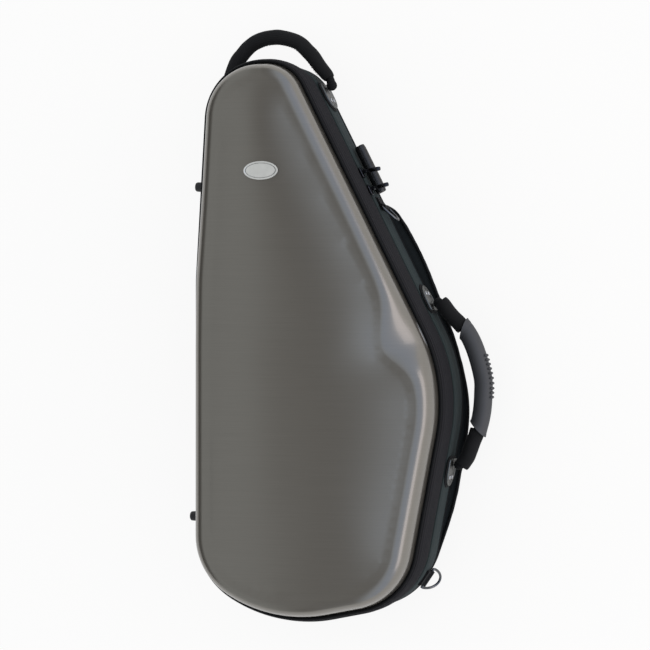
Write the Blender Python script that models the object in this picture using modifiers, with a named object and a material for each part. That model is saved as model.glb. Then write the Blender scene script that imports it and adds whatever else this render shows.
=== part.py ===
"""Alto saxophone case with a moulded front shell, a zipped opening, two handles and a back pocket.

The case lies on its back: +Z is its front, +Y its neck end and +X its handle side. Sizes are in metres.
"""

import math

import bmesh
import bpy
from mathutils import Matrix, Vector
from mathutils.bvhtree import BVHTree

# Overall sizes of the shell's rim, seen from the front.
RIM_LENGTH = 0.623
RIM_WIDTH = 0.278

# Depths of the layers, from the back to the front.
POCKET_DEPTH = 0.028
BASE_GUSSET_HEIGHT = 0.037
ZIP_OPENING = 0.008
LID_GUSSET_HEIGHT = 0.050
NECK_RISE = 0.036
BELL_RISE = 0.048

# Walls and fits.
SEAM_GAP = 0.0003
GUSSET_REACH = 0.006
GUSSET_INSET = 0.002
GUSSET_EDGE = 0.0012
PANEL_THICKNESS = 0.004
SHELL_THICKNESS = 0.0025
LINING_THICKNESS = 0.004
LINING_GAP = 0.0026
LINING_SKIRT = 0.006
LINING_SHOULDER = 0.003
PIPING_RADIUS = 0.0016
PIPING_SEAT = 0.0034
CUT_OVERRUN = 0.004

# How finely round outlines are divided.
CHORD_SAG = 0.0003
LONGEST_RUN = 0.060
ROLL_STEPS = 5
LINING_ROLL_STEPS = 2
SMALL_ROUND_SIDES = 12
RIVET_SIDES = 10
KNUCKLE_SIDES = 10
KNUCKLE_RINGS = 6
RING_BOW_STEPS = 12
SIDE_STRAP_STEPS = 16
TOP_STRAP_STEPS = 14
TOP_TUBE_STEPS = 22
BOOT_STEPS = 9
GRIP_STEPS = 72
STRAP_ROLL_STEPS = 8
SHARP_EDGE_DEGREES = 40.0

# The moulded roll round the front shell, and its wide shoulder above the bell.
ROLL_WIDTH = 0.017
ROLL_HEIGHT_SHARE = 0.78
ROLL_TURN_DEGREES = 83
SHOULDER_EXTRA = 0.024
SHOULDER_SPREAD = 0.034
SHOULDER_ALONG_SHARE = 0.008
NECK_LEVEL_SHARE = 0.305
BELL_LEVEL_SHARE = -0.032
DOME_SHARES = (0.14, 0.34, 0.60, 0.88)
LINING_DOME_SHARES = (0.32, 0.84)

# Circles that the rim runs round, counterclockwise from the foot of the spine: each as shares of the
# rim's width (across, radius) and of its length (along), then the dome's ridge point in the same shares.
FOOT_SPINE_RADIUS_SHARE = 0.284
FOOT_RADIUS_SHARE = 0.576
FOOT_ACROSS_SHARE = -0.065
FOOT_BELL_RADIUS_SHARE = 0.273
FOOT_BELL_ACROSS_SHARE = 0.129
FOOT_BELL_LIFT_SHARE = 0.034
BELL_RADIUS_SHARE = 0.647
BELL_ALONG_SHARE = -0.116
NECK_BELL_RADIUS_SHARE = 0.162
NECK_BELL_ACROSS_SHARE = -0.216
NECK_SPINE_RADIUS_SHARE = 0.223
NECK_SPINE_ACROSS_SHARE = -0.239
SPINE_RADIUS_SHARE = 1.08
SPINE_ALONG_SHARE = 0.096
RIDGE_SHARES = ((-0.10, -0.300), (-0.03, -0.320), (0.04, -0.300), (0.04, -0.120),
                (-0.21, 0.350), (-0.23, 0.350), (-0.14, 0.080))

# The main zip and the spine hinge.
TAPE_THICKNESS = 0.0012
TAPE_SEAT = 0.0030
CHAIN_WIDTH = 0.0036
CHAIN_HEIGHT = 0.0018
HINGE_FOOT_SHARE = -0.305
HINGE_NECK_SHARE = 0.088
HINGE_THICKNESS = 0.0012
HINGE_LEAF = 0.022
HINGE_ZIP_GAP = 0.002

# Spine feet.
FOOT_STUD_RADIUS = 0.006
FOOT_STUD_HEIGHT = 0.010
FOOT_STUD_EDGE = 0.0012
FOOT_STUD_ALONG_SHARES = {"upper": 0.280, "lower": -0.325}
FOOT_STUD_FROM_EDGE = 0.014

# Badge.
BADGE_LENGTH = 0.040
BADGE_HEIGHT = 0.021
BADGE_THICKNESS = 0.0016
BADGE_EDGE = 0.0004
BADGE_SIDES = 22
BADGE_ACROSS_SHARE = -0.201
BADGE_ALONG_SHARE = 0.303

# The fitted cradle: the top of the foam and its wells. Each well runs round two circles, given as shares
# of the rim's width (across, radius) and of its length (along).
CRADLE_BELOW_GUSSET = 0.0008
CRADLE_FLOOR_THICKNESS = 0.006
CRADLE_EDGE_GAP = 0.0006
BODY_NECK_WELL_SHARES = (-0.230, 0.366, 0.122)
BODY_FOOT_WELL_SHARES = (-0.259, -0.297, 0.173)
BOW_WELL_SHARES = (0.036, -0.329, 0.194)
BELL_WELL_SHARES = (0.187, -0.120, 0.245)
NECK_WELL_TOP_SHARES = (0.014, 0.241, 0.054)
NECK_WELL_FOOT_SHARES = (0.165, 0.106, 0.079)
NECK_WELL_DEPTH = 0.022
BODY_STRAP_ALONG_SHARE = 0.064
BODY_STRAP_WIDTH = 0.038
BODY_STRAP_THICKNESS = 0.002
BODY_STRAP_OVERLAP = 0.012
BODY_STRAP_RISE = 0.010
BODY_STRAP_SHARES = ((-1.0, 0.0), (-0.5, 0.8), (0.0, 1.0), (0.5, 0.8), (1.0, 0.0))

# The back pocket. Each growth is how far the pocket stands out from the rim's own circle there.
POCKET_BELL_GROWTH = 0.015
POCKET_FOOT_BELL_GROWTH = 0.006
POCKET_SPINE_GROWTH = -0.005
POCKET_CORNER_RADIUS = 0.028
POCKET_TOP_SHARE = 0.2536
POCKET_WALL = 0.003
POCKET_LEVEL_SHARES = (1.0, 0.90, 0.70, 0.45, 0.20, 0.0)
POCKET_INSET_SHARES = (0.80, 0.42, 0.14, 0.0, 0.12, 0.50)
POCKET_ROUND = 0.016
POCKET_WELT_INSET = 0.0040
POCKET_ZIP_LEVEL_SHARE = 0.45
POCKET_ZIP_HEIGHT = 0.006
POCKET_ZIP_THICKNESS = 0.0016
POCKET_ZIP_END = 0.004
POCKET_MOUTH_HEIGHT = 0.003
POCKET_MOUTH_END = 0.006
POCKET_SLIDER_ACROSS_SHARE = 0.122

# Plates and pads that hold the handles.
PLATE_LENGTH = 0.032
PLATE_FROM_EDGE = 0.0015
PLATE_CORNER = 0.005
PLATE_THICKNESS = 0.0020
PLATE_EDGE = 0.0006
PAD_MARGIN = 0.0025
PAD_THICKNESS = 0.0014
PAD_EDGE = 0.0004
RIVET_RADIUS = 0.0030
RIVET_HEAD = 0.0010
RIVET_SINK = 0.0010
RIVET_SPACING = 0.0115
RIVET_ALONG = 0.0055

# Both handles end over their plates, in from the plates' middles towards the grip.
HANDLE_END_INSET = 0.0105

# Side handle: its ends, and its route from the upper end to the lower end as (outward, along) shares.
SIDE_MIDDLE_SHARE = -0.084
SIDE_SPAN = 0.197
SIDE_FINGER_GAP = 0.0205
SIDE_ROUTE_SHARES = ((0.0, 0.0), (0.12, 0.034), (0.40, 0.112), (0.70, 0.205), (0.892, 0.322), (1.0, 0.486),
                     (0.965, 0.585), (0.845, 0.712), (0.60, 0.838), (0.28, 0.944), (0.0, 1.0))
SIDE_END_RADIUS = 0.0062
BOOT_RADIUS = 0.0088
GRIP_SPAN_SHARES = (0.200, 0.775)
BOOT_OUTER_SHARES = (0.032, 0.960)
BOOT_GAP_SHARE = 0.005
GRIP_RADIUS = 0.0105
GRIP_END_RADIUS = 0.0112
RIDGE_COUNT = 8
RIDGE_HEIGHT = 0.0016
RIDGE_SPAN_SHARES = (0.368, 0.608)
SIDE_STRAP_RADIUS = 0.0050
SLEEVE_CLEARANCE = 0.0003
SLEEVE_MOUTH = 0.0012
GRIP_END_STEPS = 7
SIDE_SPAN_STEPS = 6
TOP_SPAN_STEPS = 4

# Top handle, round the neck end.
TOP_ENDS_SHARE = 0.4491
TOP_FINGER_GAP = 0.0238
TOP_RADIUS = 0.0080
TOP_END_RADIUS = 0.0062
TOP_ROUTE_SHARES = ((0.0, 0.0), (0.022, 0.17), (0.062, 0.369), (0.132, 0.618), (0.270, 0.906), (0.461, 1.0),
                    (0.651, 0.908), (0.788, 0.661), (0.893, 0.383), (0.974, 0.165), (1.0, 0.0))
TOP_TUBE_SPAN_SHARES = (0.038, 0.952)
TOP_STRAP_RADIUS = 0.0050

# Zip sliders on the straight side above the bell, and their pulls.
SLIDER_ALONG_SHARE = 0.3047
SLIDER_SPACING = 0.0198
SLIDER_LENGTH = 0.0130
SLIDER_LAP = 0.0010
SLIDER_THICKNESS = 0.0024
SLIDER_EDGE = 0.0006
SLIDER_NECK_CLEARANCE = 0.0004
SLIDER_CORNER = 0.0030
BRIDGE_POST = 0.0012
BRIDGE_DEPTH = 0.0024
BRIDGE_SPAN = 0.0060
BRIDGE_RISE = 0.0030
PULL_PIN_RADIUS = 0.0011
PULL_EYE_CLEARANCE = 0.0004
PULL_EYE_WALL = 0.0009
PULL_SIDE_CLEARANCE = 0.0009
PULL_THICKNESS = 0.0022
PULL_EDGE = 0.0005
PULL_SHOULDER = 0.0066
PULL_SHOULDER_RADIUS = 0.0026
PULL_TIP = 0.0150
PULL_TIP_RADIUS = 0.0036
PULL_TURN_DEGREES = {"upper": -18.0, "lower": -12.0}

# Strap roll and strap rings.
STRAP_ROLL_ALONG_SHARE = 0.309
STRAP_ROLL_SPAN = 0.053
STRAP_ROLL_RADIUS = 0.0072
STRAP_ROLL_END_RADIUS = 0.0052
RING_WIRE = 0.0015
RING_BAR = 0.026
RING_DROP = 0.021
RING_BAR_SHARES = (0.25, 0.75)
RING_EYE_CLEARANCE = 0.0004
TAB_WIDTH = 0.022
TAB_LENGTH = 0.014
TAB_THICKNESS = 0.0020
TAB_EYE_RADIUS = 0.0032
UPPER_RING_BELOW_ROLL = 0.016
UPPER_RING_REST_DEGREES = 20.0
LOWER_RING_ALONG_SHARE = -0.4366
LOWER_RING_ABOVE_EDGE = 0.008
LOWER_RING_REST_DEGREES = 30.0

# The boots reach from near the plates to just short of the grip.
BOOT_SPAN_SHARES = {"upper": (BOOT_OUTER_SHARES[0], GRIP_SPAN_SHARES[0] - BOOT_GAP_SHARE),
                    "lower": (GRIP_SPAN_SHARES[1] + BOOT_GAP_SHARE, BOOT_OUTER_SHARES[1])}

# Levels up from the floor, worked out from the depths.
BACK_Z = POCKET_DEPTH + SEAM_GAP
PANEL_TOP_Z = BACK_Z + PANEL_THICKNESS
BASE_GUSSET_Z = PANEL_TOP_Z + SEAM_GAP
BASE_EDGE_Z = BASE_GUSSET_Z + BASE_GUSSET_HEIGHT
ZIP_Z = BASE_EDGE_Z + ZIP_OPENING / 2
LID_EDGE_Z = BASE_EDGE_Z + ZIP_OPENING
RIM_Z = LID_EDGE_Z + LID_GUSSET_HEIGHT
HANDLE_Z = BASE_GUSSET_Z + BASE_GUSSET_HEIGHT / 2

# Sides and distances that several pieces share.
SPINE_X = -RIM_WIDTH / 2
BELL_X = RIM_WIDTH / 2
NECK_Y = RIM_LENGTH / 2
FOOT_Y = -RIM_LENGTH / 2
HINGE_X = SPINE_X - GUSSET_REACH - SEAM_GAP - HINGE_THICKNESS
POCKET_TOP_Y = POCKET_TOP_SHARE * RIM_LENGTH
SHOULDER_Y = SHOULDER_ALONG_SHARE * RIM_LENGTH
NECK_LEVEL_Y = NECK_LEVEL_SHARE * RIM_LENGTH
BELL_LEVEL_Y = BELL_LEVEL_SHARE * RIM_LENGTH
HINGE_FOOT_Y = HINGE_FOOT_SHARE * RIM_LENGTH
HINGE_NECK_Y = HINGE_NECK_SHARE * RIM_LENGTH
BODY_STRAP_Y = BODY_STRAP_ALONG_SHARE * RIM_LENGTH
TOP_ENDS_Y = TOP_ENDS_SHARE * RIM_LENGTH
SIDE_UPPER_Y = SIDE_MIDDLE_SHARE * RIM_LENGTH + SIDE_SPAN / 2
SIDE_LOWER_Y = SIDE_MIDDLE_SHARE * RIM_LENGTH - SIDE_SPAN / 2
SLIDER_UPPER_Y = SLIDER_ALONG_SHARE * RIM_LENGTH
SLIDER_YS = {"upper": SLIDER_UPPER_Y, "lower": SLIDER_UPPER_Y - SLIDER_SPACING}
STRAP_ROLL_TOP_Y = STRAP_ROLL_ALONG_SHARE * RIM_LENGTH + STRAP_ROLL_SPAN / 2
STRAP_ROLL_FOOT_Y = STRAP_ROLL_ALONG_SHARE * RIM_LENGTH - STRAP_ROLL_SPAN / 2
UPPER_RING_Y = STRAP_ROLL_FOOT_Y - UPPER_RING_BELOW_ROLL
LOWER_RING_Y = LOWER_RING_ALONG_SHARE * RIM_LENGTH
PLATE_HEIGHT = BASE_GUSSET_HEIGHT - 2 * PLATE_FROM_EDGE
PLATE_STACK = SEAM_GAP + PAD_THICKNESS + SEAM_GAP + PLATE_THICKNESS
SLIDER_HEIGHT = ZIP_OPENING + 2 * SLIDER_LAP
SLIDER_NECK = ZIP_OPENING - 2 * SLIDER_NECK_CLEARANCE
PULL_EYE_WIDTH = BRIDGE_SPAN - 2 * PULL_SIDE_CLEARANCE
FULL_TURN = 2 * math.pi
THREE_QUARTER_TURN = 3 * math.pi / 2
MERGE = 0.00001

# The parts that the lid carries.
LID_PARTS = ("front_shell", "lid_lining", "lid_gusset", "lid_piping", "lid_zip_tape", "lid_zip_chain",
             "hinge_strip_lid", "spine_foot_lid_upper", "spine_foot_lid_lower", "badge")

# Colours (red, green, blue), roughness and metallic value of each finish.
FINISHES = {
    "shell": ((0.125, 0.122, 0.112), 0.28, 0.0),
    "lid_fabric": ((0.034, 0.034, 0.037), 0.75, 0.0),
    "base_fabric": ((0.048, 0.061, 0.065), 0.75, 0.0),
    "trim": ((0.018, 0.019, 0.021), 0.60, 0.0),
    "lining": ((0.028, 0.028, 0.032), 0.95, 0.0),
    "plate_metal": ((0.31, 0.32, 0.31), 0.38, 1.0),
    "badge_metal": ((0.75, 0.75, 0.76), 0.25, 1.0),
    "grip_rubber": ((0.070, 0.074, 0.084), 0.55, 0.0),
    "stud_rubber": ((0.020, 0.020, 0.022), 0.60, 0.0),
    "leather": ((0.016, 0.016, 0.018), 0.30, 0.0),
    "zip_metal": ((0.030, 0.031, 0.034), 0.30, 1.0),
}


def clear_scene():
    """Removes whatever the scene held."""
    for obj in list(bpy.data.objects):
        bpy.data.objects.remove(obj, do_unlink=True)


def new_collection(name):
    """A collection under the scene's own."""
    collection = bpy.data.collections.new(name)
    bpy.context.scene.collection.children.link(collection)
    return collection


def finish_material(name):
    """The Principled material of a finish, made once."""
    found = bpy.data.materials.get(name)
    if found:
        return found
    colour, roughness, metallic = FINISHES[name]
    material = bpy.data.materials.new(name)
    material.use_nodes = True
    shader = material.node_tree.nodes["Principled BSDF"]
    shader.inputs["Base Color"].default_value = (*colour, 1.0)
    shader.inputs["Roughness"].default_value = roughness
    shader.inputs["Metallic"].default_value = metallic
    return material


def link_part(name, mesh, finish, matrix=None):
    """A part's object, in the case's collection, with its finish."""
    obj = bpy.data.objects.new(name, mesh)
    bpy.data.collections["saxophone_case"].objects.link(obj)
    mesh.materials.clear()
    mesh.materials.append(finish_material(finish))
    mesh.shade_smooth()
    mesh.set_sharp_from_angle(angle=math.radians(SHARP_EDGE_DEGREES))
    if matrix:
        obj.matrix_world = matrix
    return obj


def mesh_from_curve(curve, name):
    """The closed mesh of a curve, its caps welded on."""
    obj = bpy.data.objects.new(name, curve)
    bpy.context.scene.collection.objects.link(obj)
    bpy.context.view_layer.update()
    evaluated = obj.evaluated_get(bpy.context.evaluated_depsgraph_get())
    mesh = bpy.data.meshes.new_from_object(evaluated)
    mesh.name = name
    bm = bmesh.new()
    bm.from_mesh(mesh)
    bmesh.ops.remove_doubles(bm, verts=bm.verts, dist=MERGE)
    bmesh.ops.recalc_face_normals(bm, faces=bm.faces)
    bm.to_mesh(mesh)
    bm.free()
    bpy.data.objects.remove(obj, do_unlink=True)
    return mesh


def plate_mesh(name, loops, low, high, edge=0.0):
    """A flat plate between two levels, from its outline and any holes, its edges rounded."""
    curve = bpy.data.curves.new(name, "CURVE")
    curve.dimensions = "2D"
    curve.fill_mode = "BOTH"
    curve.extrude = (high - low) / 2 - edge
    curve.bevel_depth = edge
    curve.bevel_resolution = 0
    for loop in loops:
        spline = curve.splines.new("POLY")
        spline.points.add(len(loop) - 1)
        for point, place in zip(spline.points, loop):
            point.co = (place[0], place[1], 0.0, 1.0)
        spline.use_cyclic_u = True
    mesh = mesh_from_curve(curve, name)
    mesh.transform(Matrix.Translation((0.0, 0.0, (low + high) / 2)))
    return mesh


def tube_mesh(name, points, radii, cyclic=False, resolution=2):
    """A round tube along points; radii is one value, or one for each point."""
    curve = bpy.data.curves.new(name, "CURVE")
    curve.dimensions = "3D"
    curve.bevel_resolution = resolution
    curve.use_fill_caps = not cyclic
    curve.twist_mode = "Z_UP"
    spline = curve.splines.new("POLY")
    spline.points.add(len(points) - 1)
    if isinstance(radii, float):
        radii = [radii] * len(points)
    curve.bevel_depth = max(radii)
    for point, place, radius in zip(spline.points, points, radii):
        point.co = (*place, 1.0)
        point.radius = radius / curve.bevel_depth
    spline.use_cyclic_u = cyclic
    return mesh_from_curve(curve, name)


def loft_mesh(name, rings, cap_last=False):
    """An open surface through closed rings with equal counts of points, its last ring filled if asked."""
    bm = bmesh.new()
    rows = [[bm.verts.new(place) for place in ring] for ring in rings]
    for lower, upper in zip(rows, rows[1:]):
        for i in range(len(lower)):
            bm.faces.new((lower[i - 1], lower[i], upper[i], upper[i - 1]))
    if cap_last:
        cap = bm.faces.new(rows[-1])
        bmesh.ops.triangulate(bm, faces=[cap], ngon_method="BEAUTY")
    mesh = bpy.data.meshes.new(name)
    bm.to_mesh(mesh)
    bm.free()
    return mesh


def thicken(obj, thickness):
    """Gives an open surface a wall on its inner side."""
    wall = obj.modifiers.new("Wall", "SOLIDIFY")
    wall.thickness = thickness
    wall.offset = -1.0
    wall.use_even_offset = True
    return wall


def combine(obj, cutter, operation):
    """Cuts a part by a cutter, or joins them."""
    modifier = obj.modifiers.new(operation.title(), "BOOLEAN")
    modifier.operation = operation
    modifier.object = cutter
    modifier.solver = "EXACT"
    return modifier


def make_cutter(name, mesh, matrix=None):
    """A guide solid that only cuts or joins."""
    obj = bpy.data.objects.new(name, mesh)
    bpy.data.collections["cutters"].objects.link(obj)
    obj.hide_render = True
    obj.display_type = "WIRE"
    if matrix:
        obj.matrix_world = matrix
    return obj


def cylinder_mesh(name, radius, length, sides, axis="Z"):
    """A closed cylinder about the origin, along an axis."""
    bm = bmesh.new()
    bmesh.ops.create_cone(bm, cap_ends=True, segments=sides, radius1=radius, radius2=radius, depth=length)
    turns = {"X": Matrix.Rotation(math.pi / 2, 4, "Y"), "Y": Matrix.Rotation(math.pi / 2, 4, "X")}
    if axis in turns:
        bmesh.ops.transform(bm, matrix=turns[axis], verts=bm.verts)
    mesh = bpy.data.meshes.new(name)
    bm.to_mesh(mesh)
    bm.free()
    return mesh


def box_mesh(name, corner, other):
    """A box between two corners."""
    bm = bmesh.new()
    bmesh.ops.create_cube(bm, size=1.0)
    middle = (Vector(corner) + Vector(other)) / 2
    sides = Vector(other) - Vector(corner)
    placing = Matrix.Translation(middle) @ Matrix.Diagonal((*sides, 1.0))
    bmesh.ops.transform(bm, matrix=placing, verts=bm.verts)
    mesh = bpy.data.meshes.new(name)
    bm.to_mesh(mesh)
    bm.free()
    return mesh


class Station:
    """A place on an outline: its point, outward normal and the ridge point that it faces."""

    def __init__(self, point, normal, ridge):
        self.point = point
        self.normal = normal
        self.ridge = ridge

    def grown(self, growth):
        """The point moved out along the normal."""
        return self.point + self.normal * growth


def unit(angle):
    """The unit vector at an angle in the plane."""
    return Vector((math.cos(angle), math.sin(angle)))


def circle_points(radius, first=0.0, last=FULL_TURN, steps=SMALL_ROUND_SIDES):
    """Points round a circle or an arc, without its last one."""
    return [tuple(unit(first + (last - first) * k / steps) * radius) for k in range(steps)]


def stations(circles, ridges=None):
    """Stations round a loop of (x, y, radius) circles joined by tangent lines, counterclockwise."""
    count = len(circles)
    ridges = ridges or [(x, y) for x, y, radius in circles]
    turns = []
    for i in range(count):
        x0, y0, r0 = circles[i]
        x1, y1, r1 = circles[(i + 1) % count]
        across = Vector((x1 - x0, y1 - y0))
        lean = math.asin(max(-1.0, min(1.0, (r0 - r1) / across.length)))
        turns.append(math.atan2(across.y, across.x) - math.pi / 2 + lean)
    found = []
    for i in range(count):
        x, y, radius = circles[i]
        ridge = Vector(ridges[i])
        next_ridge = Vector(ridges[(i + 1) % count])
        sweep = (turns[i] - turns[i - 1]) % FULL_TURN
        step = 2 * math.acos(1 - min(CHORD_SAG / radius, 1.0))
        steps = max(1, math.ceil(sweep / step))
        for k in range(steps + 1):
            normal = unit(turns[i - 1] + sweep * k / steps)
            found.append(Station(Vector((x, y)) + normal * radius, normal, ridge))
        nx, ny, nr = circles[(i + 1) % count]
        end = Vector((nx, ny)) + normal * nr
        start = found[-1].point
        runs = math.ceil((end - start).length / LONGEST_RUN)
        for k in range(1, runs):
            share = k / runs
            found.append(Station(start.lerp(end, share), normal, ridge.lerp(next_ridge, share)))
    kept = [found[0]]
    for station in found[1:]:
        if (station.point - kept[-1].point).length > MERGE:
            kept.append(station)
    if (kept[0].point - kept[-1].point).length < MERGE:
        kept.pop()
    return kept


def rim_circles(spine_growth=0.0, foot_bell_growth=0.0, bell_growth=0.0):
    """The rim's circles, from the foot of the spine counterclockwise; growths move some edges out."""
    foot_radius = FOOT_RADIUS_SHARE * RIM_WIDTH
    foot_x = FOOT_ACROSS_SHARE * RIM_WIDTH
    foot_y = FOOT_Y + foot_radius
    corner = FOOT_SPINE_RADIUS_SHARE * RIM_WIDTH
    corner_x = SPINE_X + corner
    corner_drop = math.sqrt((foot_radius - corner) ** 2 - (foot_x - corner_x) ** 2)
    foot_bell = FOOT_BELL_RADIUS_SHARE * RIM_WIDTH
    bell = BELL_RADIUS_SHARE * RIM_WIDTH
    neck_bell = NECK_BELL_RADIUS_SHARE * RIM_WIDTH
    neck_spine = NECK_SPINE_RADIUS_SHARE * RIM_WIDTH
    spine = SPINE_RADIUS_SHARE * RIM_WIDTH
    return [
        (corner_x, foot_y - corner_drop, corner + spine_growth),
        (foot_x, foot_y, foot_radius + spine_growth),
        (FOOT_BELL_ACROSS_SHARE * RIM_WIDTH, FOOT_Y + FOOT_BELL_LIFT_SHARE * RIM_WIDTH + foot_bell,
         foot_bell + foot_bell_growth),
        (BELL_X - bell, BELL_ALONG_SHARE * RIM_LENGTH, bell + bell_growth),
        (NECK_BELL_ACROSS_SHARE * RIM_WIDTH, NECK_Y - neck_bell, neck_bell),
        (NECK_SPINE_ACROSS_SHARE * RIM_WIDTH, NECK_Y - neck_spine, neck_spine),
        (SPINE_X + spine, SPINE_ALONG_SHARE * RIM_LENGTH, spine),
    ]


def rim_stations():
    """The stations of the rim, with the dome's ridge points."""
    ridges = [(across * RIM_WIDTH, along * RIM_LENGTH) for across, along in RIDGE_SHARES]
    return stations(rim_circles(), ridges)


def pocket_stations():
    """The pocket's outline: the rim's foot and bell, cut off straight across below the neck."""
    circles = rim_circles(POCKET_SPINE_GROWTH, POCKET_FOOT_BELL_GROWTH, POCKET_BELL_GROWTH)
    foot_spine, foot, foot_bell, bell, neck_bell = circles[:5]
    across = Vector((neck_bell[0] - bell[0], neck_bell[1] - bell[1]))
    lean = math.asin((bell[2] - POCKET_BELL_GROWTH - neck_bell[2]) / across.length)
    slope = unit(math.atan2(across.y, across.x) - math.pi / 2 + lean)
    side = slope.dot(Vector(bell[:2])) + bell[2]
    corner_y = POCKET_TOP_Y - POCKET_CORNER_RADIUS
    corner_x = (side - POCKET_CORNER_RADIUS - slope.y * corner_y) / slope.x
    spine_corner_x = foot_spine[0] - foot_spine[2] + POCKET_CORNER_RADIUS
    return stations([foot_spine, foot, foot_bell, bell, (corner_x, corner_y, POCKET_CORNER_RADIUS),
                     (spine_corner_x, corner_y, POCKET_CORNER_RADIUS)])


def grown(places, growth):
    """An outline moved out, as (x, y) points."""
    return [tuple(place.grown(growth)) for place in places]


def at_level(places, growth, z):
    """An outline moved out, at a level."""
    return [(*place.grown(growth), z) for place in places]


def smooth_step(value):
    """Eases from 0 to 1."""
    value = max(0.0, min(1.0, value))
    return value * value * (3 - 2 * value)


def smooth_route(points, per_span):
    """Points along a smooth curve through the given ones."""
    padded = [points[0] * 2 - points[1], *points, points[-1] * 2 - points[-2]]
    route = []
    for a, b, c, d in zip(padded, padded[1:], padded[2:], padded[3:]):
        for k in range(per_span):
            t = k / per_span
            route.append(((2 * b) + (c - a) * t + (2 * a - 5 * b + 4 * c - d) * t ** 2
                          + (3 * b - a - 3 * c + d) * t ** 3) / 2)
    route.append(points[-1])
    return route


def stretch(route, first_share, last_share, count):
    """Evenly spaced points along part of a route."""
    lengths = [0.0]
    for a, b in zip(route, route[1:]):
        lengths.append(lengths[-1] + (b - a).length)
    points = []
    for k in range(count + 1):
        goal = lengths[-1] * (first_share + (last_share - first_share) * k / count)
        i = max(1, next((n for n, reached in enumerate(lengths) if reached >= goal), len(lengths) - 1))
        share = (goal - lengths[i - 1]) / (lengths[i] - lengths[i - 1])
        points.append(route[i - 1].lerp(route[i], share))
    return points


def wall_place(rim, y, handle_side=True):
    """The point and normal of the gusset's outer face at a height along the case."""
    for first, second in zip(rim, rim[1:] + rim[:1]):
        a = first.grown(GUSSET_REACH)
        b = second.grown(GUSSET_REACH)
        if (first.normal.x > 0) == handle_side and min(a.y, b.y) <= y < max(a.y, b.y):
            share = (y - a.y) / (b.y - a.y)
            return a.lerp(b, share), first.normal.lerp(second.normal, share).normalized()
    raise ValueError("no wall at this height")


def handle_end(rim, y, handle_side, toward, stand_off):
    """Where a handle's end sits: off its plate, and in from the plate's middle towards the grip."""
    point, normal = wall_place(rim, y, handle_side)
    inset = math.copysign(HANDLE_END_INSET, toward * normal.x)
    place = point + normal * stand_off + Vector((-normal.y, normal.x)) * inset
    return Vector((place.x, place.y, HANDLE_Z))


def wall_frame(point, normal, stand_off, z):
    """A frame on the wall: X along it, Y up and Z outwards."""
    place = point + normal * stand_off
    columns = (Vector((-normal.y, normal.x, 0)), Vector((0, 0, 1)), Vector((normal.x, normal.y, 0)))
    frame = Matrix(columns).transposed().to_4x4()
    frame.translation = (place.x, place.y, z)
    return frame


def shell_rise(y):
    """How far the front shell stands above its rim."""
    share = smooth_step((NECK_LEVEL_Y - y) / (NECK_LEVEL_Y - BELL_LEVEL_Y))
    return NECK_RISE + (BELL_RISE - NECK_RISE) * share


def roll_width(station):
    """The width of the moulded roll, wider at the shoulder above the bell."""
    if station.normal.x < 0:
        return ROLL_WIDTH
    bump = math.exp(-((station.point.y - SHOULDER_Y) / SHOULDER_SPREAD) ** 2)
    return ROLL_WIDTH + SHOULDER_EXTRA * bump


def dome_rings(rim, depth, roll_steps, dome_shares):
    """Rings over the roll and the dome, at a depth below the outer face."""
    base = RIM_Z + SEAM_GAP
    full_turn = math.radians(ROLL_TURN_DEGREES)
    rings = []
    for k in range(roll_steps + 1):
        turn = full_turn * k / roll_steps
        inward = (1 - math.cos(turn)) / (1 - math.cos(full_turn))
        upward = math.sin(turn) / math.sin(full_turn)
        ring = []
        for station in rim:
            height = shell_rise(station.point.y) * ROLL_HEIGHT_SHARE
            inset = roll_width(station) * inward + depth * (1 - inward)
            ring.append((*station.grown(-inset), base + (height - depth) * upward))
        rings.append(ring)
    for share in dome_shares:
        ring = []
        for station in rim:
            start = station.grown(-roll_width(station))
            place = start.lerp(station.ridge, share)
            height = shell_rise(place.y)
            crown = ROLL_HEIGHT_SHARE + (1 - ROLL_HEIGHT_SHARE) * (1 - (1 - share) ** 2)
            ring.append((*place, base + height * crown - depth))
        rings.append(ring)
    return rings


def make_front_shell(rim):
    """The moulded front: a rolled edge, a wide shoulder and a domed face."""
    mesh = loft_mesh("front_shell", dome_rings(rim, 0.0, ROLL_STEPS, DOME_SHARES), cap_last=True)
    shell = link_part("front_shell", mesh, "shell")
    thicken(shell, SHELL_THICKNESS)
    return shell


def make_lid_lining(rim):
    """The padded lining: down the lid's wall and across under the dome."""
    rings = dome_rings(rim, SHELL_THICKNESS + LINING_GAP, LINING_ROLL_STEPS, LINING_DOME_SHARES)
    inset = GUSSET_INSET + SEAM_GAP
    foot = at_level(rim, -inset, LID_EDGE_Z + LINING_SKIRT)
    shoulder = at_level(rim, -inset, RIM_Z - LINING_SHOULDER)
    mesh = loft_mesh("lid_lining", [foot, shoulder, *rings], cap_last=True)
    lining = link_part("lid_lining", mesh, "lining")
    thicken(lining, LINING_THICKNESS)


def make_gussets(rim):
    """The side walls of the lid and of the base."""
    levels = {"lid_gusset": (LID_EDGE_Z, RIM_Z, "lid_fabric"),
              "base_gusset": (BASE_GUSSET_Z, BASE_EDGE_Z, "base_fabric")}
    for name, (low, high, finish) in levels.items():
        outer = grown(rim, GUSSET_REACH - GUSSET_EDGE)
        inner = grown(rim, -GUSSET_INSET + GUSSET_EDGE)
        link_part(name, plate_mesh(name, [outer, inner[::-1]], low, high, GUSSET_EDGE), finish)


def make_pipings(rim):
    """The welts along the front and back edges of the walls."""
    lid_level = RIM_Z + SEAM_GAP + PIPING_RADIUS
    base_level = BACK_Z + PANEL_THICKNESS / 2
    seats = {"lid_piping": (PIPING_SEAT, lid_level), "base_piping": (PIPING_SEAT + PIPING_RADIUS, base_level)}
    for name, (growth, level) in seats.items():
        route = [Vector(place) for place in at_level(rim, growth, level)]
        link_part(name, tube_mesh(name, route, PIPING_RADIUS, cyclic=True, resolution=1), "trim")


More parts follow.
